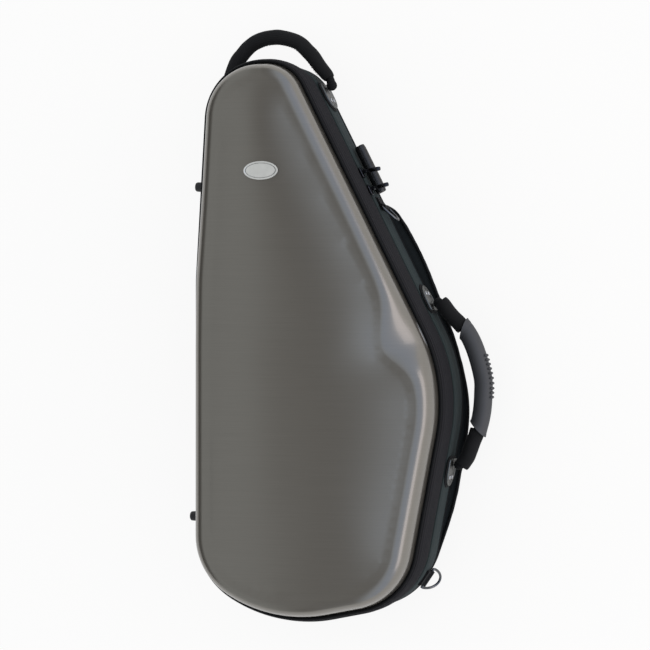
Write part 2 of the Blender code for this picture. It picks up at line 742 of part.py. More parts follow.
def make_back_panel(rim):
    """The board that closes the back."""
    outline = grown(rim, PIPING_SEAT - SEAM_GAP)
    link_part("back_panel", plate_mesh("back_panel", [outline], BACK_Z, PANEL_TOP_Z), "lining")


def open_band(rim, inner_growth, outer_growth):
    """The outline of a band round the zip's run, open along the spine hinge."""
    def side(growth):
        points = grown(rim, growth)
        first = (points[0][0], HINGE_FOOT_Y - HINGE_ZIP_GAP)
        last = (points[0][0], HINGE_NECK_Y + HINGE_ZIP_GAP)
        inside = [point for point, station in zip(points, rim)
                  if station.normal.x > -1 + MERGE or point[1] < first[1] or point[1] > last[1]]
        return [first, *inside, last]
    return side(outer_growth) + side(inner_growth)[::-1]


def make_zip(rim):
    """The tapes and chains of the main zip, half on the base and half on the lid."""
    tape = open_band(rim, TAPE_SEAT, TAPE_SEAT + TAPE_THICKNESS)
    middle = TAPE_SEAT + TAPE_THICKNESS / 2
    chain = open_band(rim, middle - CHAIN_WIDTH / 2, middle + CHAIN_WIDTH / 2)
    half = ZIP_OPENING / 2 - SEAM_GAP / 2
    tape_height = half - CHAIN_HEIGHT - 2 * SEAM_GAP
    for side, edge, up in (("base", BASE_EDGE_Z, 1), ("lid", LID_EDGE_Z, -1)):
        tape_near = edge + up * SEAM_GAP
        tape_far = tape_near + up * tape_height
        chain_near = tape_far + up * SEAM_GAP
        chain_far = chain_near + up * CHAIN_HEIGHT
        name = side + "_zip_tape"
        mesh = plate_mesh(name, [tape], min(tape_near, tape_far), max(tape_near, tape_far))
        link_part(name, mesh, "trim")
        name = side + "_zip_chain"
        mesh = plate_mesh(name, [chain], min(chain_near, chain_far), max(chain_near, chain_far))
        link_part(name, mesh, "zip_metal")


def make_hinge_strips():
    """The two leaves of the fabric hinge on the spine; the hinge turns about their outer edge."""
    outside = SPINE_X - GUSSET_REACH - SEAM_GAP
    outline = [(HINGE_X, HINGE_FOOT_Y), (outside, HINGE_FOOT_Y),
               (outside, HINGE_NECK_Y), (HINGE_X, HINGE_NECK_Y)]
    levels = {"hinge_strip_base": (ZIP_Z - HINGE_LEAF, ZIP_Z - SEAM_GAP / 2, "base_fabric"),
              "hinge_strip_lid": (ZIP_Z + SEAM_GAP / 2, ZIP_Z + HINGE_LEAF, "lid_fabric")}
    for name, (low, high, finish) in levels.items():
        link_part(name, plate_mesh(name, [outline], low, high), finish)


def make_spine_feet(rim):
    """Rubber studs that the case stands on when it rests on its spine."""
    levels = {"lid": RIM_Z - FOOT_STUD_FROM_EDGE, "base": BASE_GUSSET_Z + FOOT_STUD_FROM_EDGE}
    for side, level in levels.items():
        for place, along in FOOT_STUD_ALONG_SHARES.items():
            name = "spine_foot_" + side + "_" + place
            point, normal = wall_place(rim, along * RIM_LENGTH, handle_side=False)
            stand_off = SEAM_GAP + FOOT_STUD_HEIGHT / 2
            mesh = cylinder_mesh(name, FOOT_STUD_RADIUS, FOOT_STUD_HEIGHT, SMALL_ROUND_SIDES)
            stud = link_part(name, mesh, "stud_rubber", wall_frame(point, normal, stand_off, level))
            bevel = stud.modifiers.new("Edge", "BEVEL")
            bevel.width = FOOT_STUD_EDGE


def make_badge(shell):
    """The bare oval plate on the neck part of the front shell."""
    bpy.context.view_layer.update()
    tree = BVHTree.FromObject(shell, bpy.context.evaluated_depsgraph_get())
    half_length = BADGE_LENGTH / 2
    half_height = BADGE_HEIGHT / 2
    x = BADGE_ACROSS_SHARE * RIM_WIDTH
    y = BADGE_ALONG_SHARE * RIM_LENGTH

    def surface(dx, dy):
        return tree.ray_cast(Vector((x + dx, y + dy, 2 * (RIM_Z + BELL_RISE))), Vector((0, 0, -1)))[0]

    across = (surface(half_length, 0.0) - surface(-half_length, 0.0)).normalized()
    normal = across.cross(surface(0.0, half_height) - surface(0.0, -half_height)).normalized()
    frame = Matrix((across, normal.cross(across), normal)).transposed().to_4x4()
    frame.translation = surface(0.0, 0.0) + normal * SEAM_GAP
    oval = [(x_share * (half_length - BADGE_EDGE), y_share * (half_height - BADGE_EDGE))
            for x_share, y_share in circle_points(1.0, steps=BADGE_SIDES)]
    mesh = plate_mesh("badge", [oval], 0.0, BADGE_THICKNESS, BADGE_EDGE)
    link_part("badge", mesh, "badge_metal", frame)


def well_circle(shares):
    """A circle of a well's outline, at its real size."""
    across, along, radius = shares
    return across * RIM_WIDTH, along * RIM_LENGTH, radius * RIM_WIDTH


def make_cradle(rim):
    """The foam cradle in the base: a floor board, and a block cut out for the body, bow, bell and neck."""
    low = PANEL_TOP_Z + SEAM_GAP
    floor = low + CRADLE_FLOOR_THICKNESS
    bottom = floor + SEAM_GAP
    high = BASE_EDGE_Z - CRADLE_BELOW_GUSSET
    outline = grown(rim, -GUSSET_INSET - CRADLE_EDGE_GAP)
    link_part("insert_floor", plate_mesh("insert_floor", [outline], low, floor), "lining")
    cradle = link_part("base_insert", plate_mesh("base_insert", [outline], bottom, high), "lining")
    wells = {"body_well": (BODY_NECK_WELL_SHARES, BODY_FOOT_WELL_SHARES, bottom - CUT_OVERRUN),
             "bow_well": (BODY_FOOT_WELL_SHARES, BOW_WELL_SHARES, bottom - CUT_OVERRUN),
             "bell_well": (BOW_WELL_SHARES, BELL_WELL_SHARES, bottom - CUT_OVERRUN),
             "neck_well": (NECK_WELL_FOOT_SHARES, NECK_WELL_TOP_SHARES, high - NECK_WELL_DEPTH)}
    for name, (first, last, foot) in wells.items():
        outline = grown(stations([well_circle(first), well_circle(last)]), 0.0)
        mesh = plate_mesh(name, [outline], foot, high + CUT_OVERRUN)
        combine(cradle, make_cutter(name, mesh), "DIFFERENCE")


def make_body_strap():
    """The strap over the body well, resting on the foam at both sides and arched between them."""
    foot = Vector(well_circle(BODY_FOOT_WELL_SHARES))
    neck = Vector(well_circle(BODY_NECK_WELL_SHARES))
    middle, _, half = foot.lerp(neck, (BODY_STRAP_Y - foot.y) / (neck.y - foot.y))
    low = BASE_EDGE_Z - CRADLE_BELOW_GUSSET + SEAM_GAP
    end = half + BODY_STRAP_OVERLAP
    arch = [(half * across, low + BODY_STRAP_RISE * rise) for across, rise in BODY_STRAP_SHARES]
    lower = [(-end, low), *arch, (end, low)]
    upper = [(x, z + BODY_STRAP_THICKNESS) for x, z in reversed(lower)]
    side = plate_mesh("body_strap", [lower + upper], 0.0, BODY_STRAP_WIDTH)
    frame = Matrix(((1, 0, 0), (0, 0, -1), (0, 1, 0))).to_4x4()
    frame.translation = (middle, BODY_STRAP_Y + BODY_STRAP_WIDTH / 2, 0.0)
    side.transform(frame)
    link_part("body_strap", side, "trim")


def make_pocket(pocket):
    """The padded pocket on the back, its welt, and the zip across its mouth at the top."""
    rings = [at_level(pocket, -POCKET_ROUND * inset, POCKET_DEPTH * level)
             for level, inset in zip(POCKET_LEVEL_SHARES, POCKET_INSET_SHARES)]
    mesh = loft_mesh("pocket_shell", rings, cap_last=True)
    mesh.flip_normals()
    shell = link_part("pocket_shell", mesh, "lid_fabric")
    thicken(shell, POCKET_WALL)
    welt_level = BACK_Z - SEAM_GAP - PIPING_RADIUS
    route = [Vector(place) for place in at_level(pocket, -POCKET_WELT_INSET, welt_level)]
    mesh = tube_mesh("pocket_welt", route, PIPING_RADIUS, cyclic=True, resolution=0)
    link_part("pocket_welt", mesh, "trim")
    straight = [place.point.x for place in pocket if place.normal.y > 1 - MERGE]
    left = min(straight) + POCKET_ZIP_END
    right = max(straight) - POCKET_ZIP_END
    near = POCKET_TOP_Y + SEAM_GAP
    far = near + POCKET_ZIP_THICKNESS
    level = POCKET_DEPTH * POCKET_ZIP_LEVEL_SHARE
    zip_mesh = box_mesh("pocket_zip", (left, near, level - POCKET_ZIP_HEIGHT / 2),
                        (right, far, level + POCKET_ZIP_HEIGHT / 2))
    link_part("pocket_zip", zip_mesh, "zip_metal")
    low = (left + POCKET_MOUTH_END, POCKET_TOP_Y - POCKET_WALL - CUT_OVERRUN, level - POCKET_MOUTH_HEIGHT / 2)
    high = (right - POCKET_MOUTH_END, POCKET_TOP_Y + CUT_OVERRUN, level + POCKET_MOUTH_HEIGHT / 2)
    combine(shell, make_cutter("pocket_mouth", box_mesh("pocket_mouth", low, high)), "DIFFERENCE")


def axis_empty(name, place):
    """An empty on a joint's axis."""
    empty = bpy.data.objects.new(name, None)
    bpy.data.collections["saxophone_case"].objects.link(empty)
    empty.location = place
    bpy.context.view_layer.update()
    return empty


def carry(part, axis):
    """Parents a part to its joint's empty, where it stands."""
    part.parent = axis
    part.matrix_parent_inverse = axis.matrix_world.inverted()


def add_rivets(plate, point, normal, face, along):
    """Joins two rivet heads to a plate, one above the other."""
    name = plate.name + "_rivet"
    for level in (-RIVET_SPACING / 2, RIVET_SPACING / 2):
        head = cylinder_mesh(name, RIVET_RADIUS, RIVET_SINK + RIVET_HEAD, RIVET_SIDES)
        frame = wall_frame(point, normal, face + (RIVET_HEAD - RIVET_SINK) / 2, HANDLE_Z + level)
        frame.translation += frame.to_3x3() @ Vector((along, 0, 0))
        combine(plate, make_cutter(name, head, frame), "UNION")


def make_pads_and_plates(rim):
    """The metal plates that hold the handles, each with two rivets, on soft pads."""
    places = {"side_upper": (SIDE_UPPER_Y, True, 1), "side_lower": (SIDE_LOWER_Y, True, -1),
              "top_right": (TOP_ENDS_Y, True, -1), "top_left": (TOP_ENDS_Y, False, 1)}
    layers = (("pad", PAD_MARGIN, PAD_THICKNESS, PAD_EDGE, SEAM_GAP, "trim"),
              ("plate", 0.0, PLATE_THICKNESS, PLATE_EDGE, SEAM_GAP + PAD_THICKNESS + SEAM_GAP, "plate_metal"))
    half_length = PLATE_LENGTH / 2
    half_height = PLATE_HEIGHT / 2
    heel = half_length - PLATE_CORNER
    rise = half_height - PLATE_CORNER
    for place, (y, handle_side, nose) in places.items():
        point, normal = wall_place(rim, y, handle_side)
        for kind, margin, thickness, edge, stand_off, finish in layers:
            corner = PLATE_CORNER - edge
            circles = [(-heel, -rise, corner), (half_length - half_height, 0.0, half_height - edge),
                       (-heel, rise, corner)]
            loop = [(x * nose, z) for x, z in grown(stations(circles), margin)]
            name = place + "_" + kind
            mesh = plate_mesh(name, [loop], 0.0, thickness, edge)
            part = link_part(name, mesh, finish, wall_frame(point, normal, stand_off, HANDLE_Z))
            if kind == "plate":
                add_rivets(part, point, normal, stand_off + thickness, nose * RIVET_ALONG)


def make_sleeve(name, route, span, radii, bore, finish, axis):
    """A tube along part of a handle's route, with a radius at each step, bored for the strap inside it."""
    points = stretch(route, span[0], span[1], len(radii) - 1)
    sleeve = link_part(name, tube_mesh(name, points, radii), finish)
    combine(sleeve, bore, "DIFFERENCE")
    carry(sleeve, axis)


def round_end_radii(count, radius, end_radius, steps):
    """Radii along a tube whose ends are rounded off."""
    radii = [radius] * (count + 1)
    for k in range(steps):
        share = (k + 1) / (steps + 1)
        radii[k] = end_radius + (radius - end_radius) * math.sin(math.pi / 2 * share)
        radii[-1 - k] = radii[k]
    return radii


def strap_with_ends(name, route, radius, end_radius, axis, count):
    """The strap inside a handle, with a rounded knuckle at each end; gives back its sleeves' bore."""
    points = stretch(route, 0.0, 1.0, count)
    strap = link_part(name, tube_mesh(name, points, radius, resolution=1), "trim")
    for k, place in enumerate((points[0], points[-1])):
        bm = bmesh.new()
        bmesh.ops.create_uvsphere(bm, u_segments=KNUCKLE_SIDES, v_segments=KNUCKLE_RINGS, radius=end_radius)
        knuckle = bpy.data.meshes.new(name + "_knuckle")
        bm.to_mesh(knuckle)
        bm.free()
        combine(strap, make_cutter(name + "_knuckle_" + str(k), knuckle, Matrix.Translation(place)), "UNION")
    carry(strap, axis)
    bore = tube_mesh(name + "_bore", points, radius + SLEEVE_CLEARANCE, resolution=1)
    return make_cutter(name + "_bore", bore)


def grip_radii():
    """Radii along the grip, with its narrow ends and its ridges."""
    first, last = GRIP_SPAN_SHARES
    first_ridge, last_ridge = RIDGE_SPAN_SHARES
    radii = []
    for k in range(GRIP_STEPS + 1):
        share = first + (last - first) * k / GRIP_STEPS
        fullness = min(1.0, min(k, GRIP_STEPS - k) / GRIP_END_STEPS)
        radius = GRIP_END_RADIUS + (GRIP_RADIUS - GRIP_END_RADIUS) * fullness
        turn = (share - first_ridge) / (last_ridge - first_ridge) * RIDGE_COUNT
        if 0 <= turn <= RIDGE_COUNT:
            radius += RIDGE_HEIGHT * math.sin(math.pi * (turn % 1)) ** 2
        radii.append(radius)
    return radii


def make_side_handle(rim):
    """The side handle: a strap, a ribbed rubber grip and a fabric boot at each end."""
    stand_off = PLATE_STACK + SEAM_GAP + SIDE_END_RADIUS
    ends = [handle_end(rim, y, True, toward, stand_off)
            for y, toward in ((SIDE_UPPER_Y, -1), (SIDE_LOWER_Y, 1))]
    along = ends[1] - ends[0]
    outward = Vector((-along.y, along.x, 0)).normalized()
    middle = (ends[0] + ends[1]) / 2
    reach = (BELL_X + GUSSET_REACH + SIDE_FINGER_GAP + GRIP_RADIUS - middle.x) / outward.x
    knots = [ends[0] + along * share + outward * reach * out for out, share in SIDE_ROUTE_SHARES]
    route = smooth_route(knots, SIDE_SPAN_STEPS)
    axis = axis_empty("side_handle_axis", middle)
    bore = strap_with_ends("side_handle_strap", route, SIDE_STRAP_RADIUS, SIDE_END_RADIUS, axis,
                           SIDE_STRAP_STEPS)
    for place, span in BOOT_SPAN_SHARES.items():
        radii = round_end_radii(BOOT_STEPS, BOOT_RADIUS, SIDE_STRAP_RADIUS + SLEEVE_MOUTH, 2)
        make_sleeve("side_handle_boot_" + place, route, span, radii, bore, "lid_fabric", axis)
    make_sleeve("side_handle_grip", route, GRIP_SPAN_SHARES, grip_radii(), bore, "grip_rubber", axis)


def make_top_handle(rim):
    """The padded carrying handle round the neck end."""
    stand_off = PLATE_STACK + SEAM_GAP + TOP_END_RADIUS
    ends = [handle_end(rim, TOP_ENDS_Y, handle_side, 1, stand_off) for handle_side in (False, True)]
    along = ends[1] - ends[0]
    outward = Vector((-along.y, along.x, 0)).normalized()
    middle = (ends[0] + ends[1]) / 2
    reach = NECK_Y + GUSSET_REACH + TOP_FINGER_GAP + TOP_RADIUS - middle.y
    knots = [ends[0] + along * share + outward * reach * out for share, out in TOP_ROUTE_SHARES]
    route = smooth_route(knots, TOP_SPAN_STEPS)
    axis = axis_empty("top_handle_axis", middle)
    bore = strap_with_ends("top_handle_strap", route, TOP_STRAP_RADIUS, TOP_END_RADIUS, axis,
                           TOP_STRAP_STEPS)
    radii = round_end_radii(TOP_TUBE_STEPS, TOP_RADIUS, TOP_STRAP_RADIUS + SLEEVE_MOUTH, 3)
    make_sleeve("top_handle_tube", route, TOP_TUBE_SPAN_SHARES, radii, bore, "lid_fabric", axis)


def rounded_box_outline(half_x, half_y, corner, edge):
    """The outline of a plate with rounded corners, less the edge that is rounded on afterwards."""
    x = half_x - corner
    y = half_y - corner
    radius = corner - edge
    return grown(stations([(-x, -y, radius), (x, -y, radius), (x, y, radius), (-x, y, radius)]), 0.0)


def make_slider(name, frame, neck_depth, turn_degrees):
    """A zip slider with a bridge for its pull, and the pull; the frame's Z points out of the zip."""
    outline = rounded_box_outline(SLIDER_LENGTH / 2, SLIDER_HEIGHT / 2, SLIDER_CORNER, SLIDER_EDGE)
    slider_axis = axis_empty(name + "_axis", frame.translation)
    plate = plate_mesh(name, [outline], 0.0, SLIDER_THICKNESS, SLIDER_EDGE)
    slider = link_part(name, plate, "zip_metal", frame)
    joined = []
    if neck_depth > 0:
        half = SLIDER_LENGTH / 2 - SLIDER_CORNER
        joined.append(box_mesh(name + "_neck", (-half, -SLIDER_NECK / 2, -neck_depth),
                               (half, SLIDER_NECK / 2, SLIDER_THICKNESS / 2)))
    pin_level = SLIDER_THICKNESS + BRIDGE_RISE
    for side in (-1, 1):
        inner = side * BRIDGE_SPAN / 2
        outer = side * (BRIDGE_SPAN / 2 + BRIDGE_POST)
        joined.append(box_mesh(name + "_post", (-BRIDGE_DEPTH / 2, min(inner, outer), SLIDER_THICKNESS / 2),
                               (BRIDGE_DEPTH / 2, max(inner, outer), pin_level + BRIDGE_DEPTH / 2)))
    pin = cylinder_mesh(name + "_pin", PULL_PIN_RADIUS, BRIDGE_SPAN + BRIDGE_POST, RIVET_SIDES, "Y")
    pin.transform(Matrix.Translation((0, 0, pin_level)))
    for mesh in [*joined, pin]:
        combine(slider, make_cutter(mesh.name, mesh, frame), "UNION")
    carry(slider, slider_axis)

    pull_name = name.replace("slider", "pull")
    turn = Matrix.Rotation(math.radians(turn_degrees), 4, "Y")
    pull_frame = frame @ Matrix.Translation((0, 0, pin_level)) @ turn
    pull_axis = axis_empty(pull_name + "_axis", pull_frame.translation)
    circles = [(PULL_SHOULDER, 0.0, PULL_SHOULDER_RADIUS - PULL_EDGE),
               (PULL_TIP, 0.0, PULL_TIP_RADIUS - PULL_EDGE)]
    paddle = grown(stations(circles), 0.0)
    blade = plate_mesh(pull_name, [paddle], -PULL_THICKNESS / 2, PULL_THICKNESS / 2, PULL_EDGE)
    blade.transform(Matrix.Rotation(-math.pi / 2, 4, "Y"))
    pull = link_part(pull_name, blade, "zip_metal", pull_frame)
    eye = PULL_PIN_RADIUS + PULL_EYE_CLEARANCE
    half = PULL_EYE_WIDTH / 2
    link = box_mesh(pull_name + "_link", (-PULL_THICKNESS / 2, -half, 0.0),
                    (PULL_THICKNESS / 2, half, PULL_SHOULDER))
    knuckle = cylinder_mesh(pull_name + "_knuckle", eye + PULL_EYE_WALL, PULL_EYE_WIDTH,
                            SMALL_ROUND_SIDES, "Y")
    bore = cylinder_mesh(pull_name + "_bore", eye, PULL_EYE_WIDTH + CUT_OVERRUN, SMALL_ROUND_SIDES, "Y")
    combine(pull, make_cutter(link.name, link, pull_frame), "UNION")
    combine(pull, make_cutter(knuckle.name, knuckle, pull_frame), "UNION")
    combine(pull, make_cutter(bore.name, bore, pull_frame), "DIFFERENCE")
    carry(pull, pull_axis)


def make_sliders(rim):
    """The two sliders of the main zip, which meet on the straight side, and the pocket's slider."""
    chain_face = TAPE_SEAT + TAPE_THICKNESS / 2 + CHAIN_WIDTH / 2
    neck_depth = GUSSET_REACH - chain_face
    for place, y in SLIDER_YS.items():
        point, normal = wall_place(rim, y)
        make_slider("zip_slider_" + place, wall_frame(point, normal, SEAM_GAP, ZIP_Z), neck_depth,
                    PULL_TURN_DEGREES[place])
    point = Vector((POCKET_SLIDER_ACROSS_SHARE * RIM_WIDTH, POCKET_TOP_Y))
    stand_off = POCKET_ZIP_THICKNESS + 2 * SEAM_GAP
    level = POCKET_DEPTH * POCKET_ZIP_LEVEL_SHARE
    make_slider("pocket_slider", wall_frame(point, Vector((0.0, 1.0)), stand_off, level), 0.0, 0.0)


def make_strap_roll(rim):
    """The rolled leather piece beside the sliders."""
    ends = []
    for y in (STRAP_ROLL_TOP_Y, STRAP_ROLL_FOOT_Y):
        point, normal = wall_place(rim, y)
        place = point + normal * (SEAM_GAP + STRAP_ROLL_RADIUS)
        ends.append(Vector((place.x, place.y, HANDLE_Z)))
    points = stretch(ends, 0.0, 1.0, STRAP_ROLL_STEPS)
    radii = round_end_radii(STRAP_ROLL_STEPS, STRAP_ROLL_RADIUS, STRAP_ROLL_END_RADIUS, 1)
    link_part("strap_roll", tube_mesh("strap_roll", points, radii), "leather")


def tab_mesh(name):
    """A sewn tab with its eye, along X; the tab runs up Y with its back on the wall side."""
    meet = math.asin((TAB_THICKNESS - TAB_EYE_RADIUS) / TAB_EYE_RADIUS)
    bottom = THREE_QUARTER_TURN
    back = -TAB_EYE_RADIUS
    outline = [*circle_points(TAB_EYE_RADIUS, meet, bottom), (0.0, back), (TAB_LENGTH, back),
               (TAB_LENGTH, back + TAB_THICKNESS)]
    bore = circle_points(RING_WIRE + RING_EYE_CLEARANCE)
    mesh = plate_mesh(name, [outline, bore[::-1]], -TAB_WIDTH / 2, TAB_WIDTH / 2)
    mesh.transform(Matrix(((0, 0, 1), (1, 0, 0), (0, 1, 0))).to_4x4())
    return mesh


def make_ring(place, frame, rest_degrees):
    """A D-shaped strap ring in its sewn tab; the frame's X is the ring's bar and its Y runs up the tab."""
    name = "ring_tab_" + place
    link_part(name, tab_mesh(name), "trim", frame)
    name = "strap_ring_" + place
    axis = axis_empty(name + "_axis", frame.translation)
    turns = [math.pi * k / RING_BOW_STEPS for k in range(RING_BOW_STEPS + 1)]
    bow = [Vector((RING_BAR / 2 * math.cos(turn), -RING_DROP * math.sin(turn), 0.0)) for turn in turns]
    bar = [bow[-1].lerp(bow[0], share) for share in RING_BAR_SHARES]
    mesh = tube_mesh(name, bow + bar, RING_WIRE, cyclic=True, resolution=1)
    turn = Matrix.Rotation(math.radians(-rest_degrees), 4, "X")
    carry(link_part(name, mesh, "plate_metal", frame @ turn), axis)


def make_strap_rings(rim):
    """The two strap rings, one below the strap roll and one by the foot."""
    stand_off = SEAM_GAP + TAB_EYE_RADIUS
    point, normal = wall_place(rim, LOWER_RING_Y)
    lower = wall_frame(point, normal, stand_off, BASE_GUSSET_Z + LOWER_RING_ABOVE_EDGE)
    make_ring("lower", lower, LOWER_RING_REST_DEGREES)
    point, normal = wall_place(rim, UPPER_RING_Y)
    upper = wall_frame(point, normal, stand_off, HANDLE_Z) @ Matrix.Rotation(-math.pi / 2, 4, "Z")
    make_ring("upper", upper, UPPER_RING_REST_DEGREES)


def main():
    """Builds the case."""
    clear_scene()
    new_collection("saxophone_case")
    new_collection("cutters")
    rim = rim_stations()
    pocket = pocket_stations()
    shell = make_front_shell(rim)
    make_lid_lining(rim)
    make_gussets(rim)
    make_pipings(rim)
    make_back_panel(rim)
    make_zip(rim)
    make_hinge_strips()
    make_spine_feet(rim)
    make_badge(shell)
    make_cradle(rim)
    make_body_strap()
    make_pocket(pocket)
    make_pads_and_plates(rim)
    make_side_handle(rim)
    make_top_handle(rim)
    make_sliders(rim)
    make_strap_roll(rim)
    make_strap_rings(rim)
    lid_axis = axis_empty("lid_axis", (HINGE_X, 0.0, ZIP_Z))
    for name in LID_PARTS:
        carry(bpy.data.objects[name], lid_axis)


main()
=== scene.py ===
"""The looks of an alto saxophone case: a moulded front shell on zipped fabric walls, with two handles.

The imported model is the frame. The case lies on its back: +Z is its front, +Y its neck end and +X its
handle side. Sizes are in metres.
"""

import math

import bmesh
import bpy
import numpy as np
from mathutils import Matrix, Vector, noise
from mathutils.bvhtree import BVHTree
from mathutils.geometry import delaunay_2d_cdt


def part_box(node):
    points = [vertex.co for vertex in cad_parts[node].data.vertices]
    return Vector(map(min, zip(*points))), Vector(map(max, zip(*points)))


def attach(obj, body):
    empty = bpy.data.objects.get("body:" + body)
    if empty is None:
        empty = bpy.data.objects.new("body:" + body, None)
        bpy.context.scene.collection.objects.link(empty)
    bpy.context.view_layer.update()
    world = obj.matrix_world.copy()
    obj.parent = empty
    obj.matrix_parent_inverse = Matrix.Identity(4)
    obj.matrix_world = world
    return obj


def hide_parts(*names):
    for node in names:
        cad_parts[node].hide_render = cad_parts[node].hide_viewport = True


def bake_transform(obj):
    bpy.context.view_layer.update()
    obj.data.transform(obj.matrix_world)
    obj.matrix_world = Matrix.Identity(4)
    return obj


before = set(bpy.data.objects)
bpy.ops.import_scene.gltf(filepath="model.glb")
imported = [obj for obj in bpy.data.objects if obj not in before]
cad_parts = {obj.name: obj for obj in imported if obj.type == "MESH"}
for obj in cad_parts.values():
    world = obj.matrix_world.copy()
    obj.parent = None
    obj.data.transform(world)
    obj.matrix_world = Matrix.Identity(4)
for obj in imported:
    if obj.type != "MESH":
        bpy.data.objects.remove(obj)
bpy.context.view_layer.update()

bl_info = {
    "name": "Saxophone Case Looks",
    "version": (1, 0, 0),
    "blender": (4, 5, 0),
    "location": "View3D > Sidebar > Case",
    "description": "Dresses the case in its moulded shell, fabrics, zips, handles and fittings",
    "category": "Object",
}

UP = Vector((0, 0, 1))

# Circles (x, y, radius) joined by tangents: the shell's rim, and the pocket's outline.
RIM_CIRCLES = ((-0.06005, -0.22085, 0.07895), (-0.01807, -0.15137, 0.16013), (0.03586, -0.22615, 0.07589),
               (-0.04087, -0.07227, 0.17987), (-0.06005, 0.26646, 0.04504), (-0.06644, 0.24951, 0.06199),
               (0.16124, 0.05981, 0.30024))
POCKET_CIRCLES = ((-0.06005, -0.22085, 0.07395), (-0.01807, -0.15137, 0.15513), (0.03586, -0.22615, 0.08189),
                  (-0.04087, -0.07227, 0.19487), (0.04431, 0.12999, 0.028), (-0.106, 0.12999, 0.028))
# Where the pocket's outline is fuller or slimmer on the handle side, as (growth, middle, spread). It is
# fuller where its load hangs and at its upper corner, and slimmer by the handle.
POCKET_SWELLS = ((0.0060, 0.10, 0.050), (-0.0040, -0.02, 0.045), (0.0065, -0.19, 0.060))
# The ridge of the dome, as points that the rim's circles face in turn.
RIDGE = ((-0.0278, -0.1869), (-0.0083, -0.1994), (0.0111, -0.1869), (0.0111, -0.0748),
         (-0.0584, 0.2180), (-0.0639, 0.2180), (-0.0389, 0.0498))

# Levels up from the floor.
PANEL_LOW = 0.0283
PANEL_HIGH = 0.0323
BACK_SEAM_Z = (PANEL_LOW + PANEL_HIGH) / 2
BASE_LOW = 0.0326
BASE_HIGH = 0.0696
ZIP_Z = 0.0736
LID_LOW = 0.0776
RIM_Z = 0.1276
HANDLE_Z = 0.0511
SEAM_GAP = 0.0003

# The walls' faces out from the rim, and the shell's levels along the case.
WALL_OUT = 0.006
WALL_IN = -0.002
NECK_LEVEL_Y = 0.190
BELL_LEVEL_Y = -0.020
SHOULDER_Y = 0.005
SHOULDER_SPREAD = 0.034
SHOULDER_EXTRA = 0.024
ROLL_HEIGHT_SHARE = 0.78
ROLL_TURN = math.radians(83)
ROLL_STEPS = 18
ROLL_POWER = 0.70
SHOULDER_POWER = 0.65
SHELL_WALL = 0.0022
# A 1.2 mm lip turned over the piping, as (outwards, upwards), which catches a thin line of light.
SHELL_LIP = ((-0.0012, 0.0), (0.0003, 0.0), (0.0009, 0.0005), (0.0009, 0.0013), (0.0003, 0.0019))
# The dome's points lie on a triangular lattice, with its rows this share of its step apart.
DOME_STEP = 0.0045
ROW_SHARE = 0.866
DOME_EASING = 70

# A wall's sewn edge from its end inwards, in millimetres (level, outwards): its turned end, a flat band, the
# groove of the stitches and the start of the padding.
SEWN_EDGE = ((0.0, -1.6), (0.0, -0.7), (0.5, -0.15), (1.4, 0.1), (2.6, 0.1), (3.6, -0.15), (4.0, -0.55),
             (4.4, -0.15), (5.4, 0.25))
PADDING = 0.0006
QUILT = 0.0011
WALL_STEP = 0.0045
# Where a wall's stitches lie, in from its edge and from its face.
STITCH_IN = 0.0040
STITCH_SUNK = 0.0004

# The section of a zip's tape as (growth, rise past the wall's edge), and where its teeth stand.
TAPE_SECTION = ((0.0028, -0.0004), (0.0044, -0.0004), (0.0044, 0.0019), (0.0042, 0.0021), (0.0030, 0.0021),
                (0.0028, 0.0019))
TEETH_OUT = 0.0036
TEETH_RISE = 0.00285

# The pocket's side as (inset, level) from its seam to its face, its face's middle and its welt's place.
POCKET_STEPS = ((0.0070, 0.0272), (0.0022, 0.0262), (0.0012, 0.0215), (0.0012, 0.0120), (0.0028, 0.0055),
                (0.0080, 0.0022), (0.0150, 0.0012))
POCKET_MIDDLE = (0.0, -0.12)
POCKET_WELT = (0.0028, 0.0264)

# The spine hinge.
HINGE_X = -0.1465
HINGE_FOOT_Y = -0.190
HINGE_NECK_Y = 0.0548
HINGE_HALF_WIDTH = 0.0215

# Knots of the handles' routes at the handles' level, from end to end, and their straps.
SIDE_KNOTS = ((0.12174, 0.04149), (0.12763, 0.03590), (0.14074, 0.02309), (0.15485, 0.00764),
              (0.16497, -0.01283), (0.17306, -0.04240), (0.17376, -0.06081), (0.17173, -0.08483),
              (0.16499, -0.10936), (0.15520, -0.13062), (0.14571, -0.14246))
TOP_KNOTS = ((-0.13186, 0.29387), (-0.12947, 0.30369), (-0.12500, 0.31532), (-0.11632, 0.32972),
             (-0.09860, 0.34609), (-0.07337, 0.35190), (-0.04825, 0.34620), (-0.03127, 0.33192),
             (-0.01854, 0.31531), (-0.00826, 0.30303), (-0.00496, 0.29388))
STRAP_RADIUS = 0.0050
KNUCKLE_RADIUS = 0.0062
BOOT_LIFT = 0.0026
# What covers the straps, as shares of their routes.
BOOT_SPANS = {"upper": (0.006, 0.195), "lower": (0.780, 0.994)}
GRIP_SPAN = (0.200, 0.775)
RIB_SPAN = (0.368, 0.608)
TUBE_SPAN = (0.038, 0.952)

# Height along the case of what is fixed to its walls; for a plate, also its wall and where its nose points.
PLATE_YS = {"side_upper": (0.04617, True, 1), "side_lower": (-0.15083, True, -1),
            "top_right": (0.27979, True, -1), "top_left": (0.27979, False, 1)}
ROLL_PIECE_YS = (0.21901, 0.16601)
RING_YS = {"upper": 0.15001, "lower": -0.27200}
FOOT_YS = {"upper": 0.17444, "lower": -0.20248}

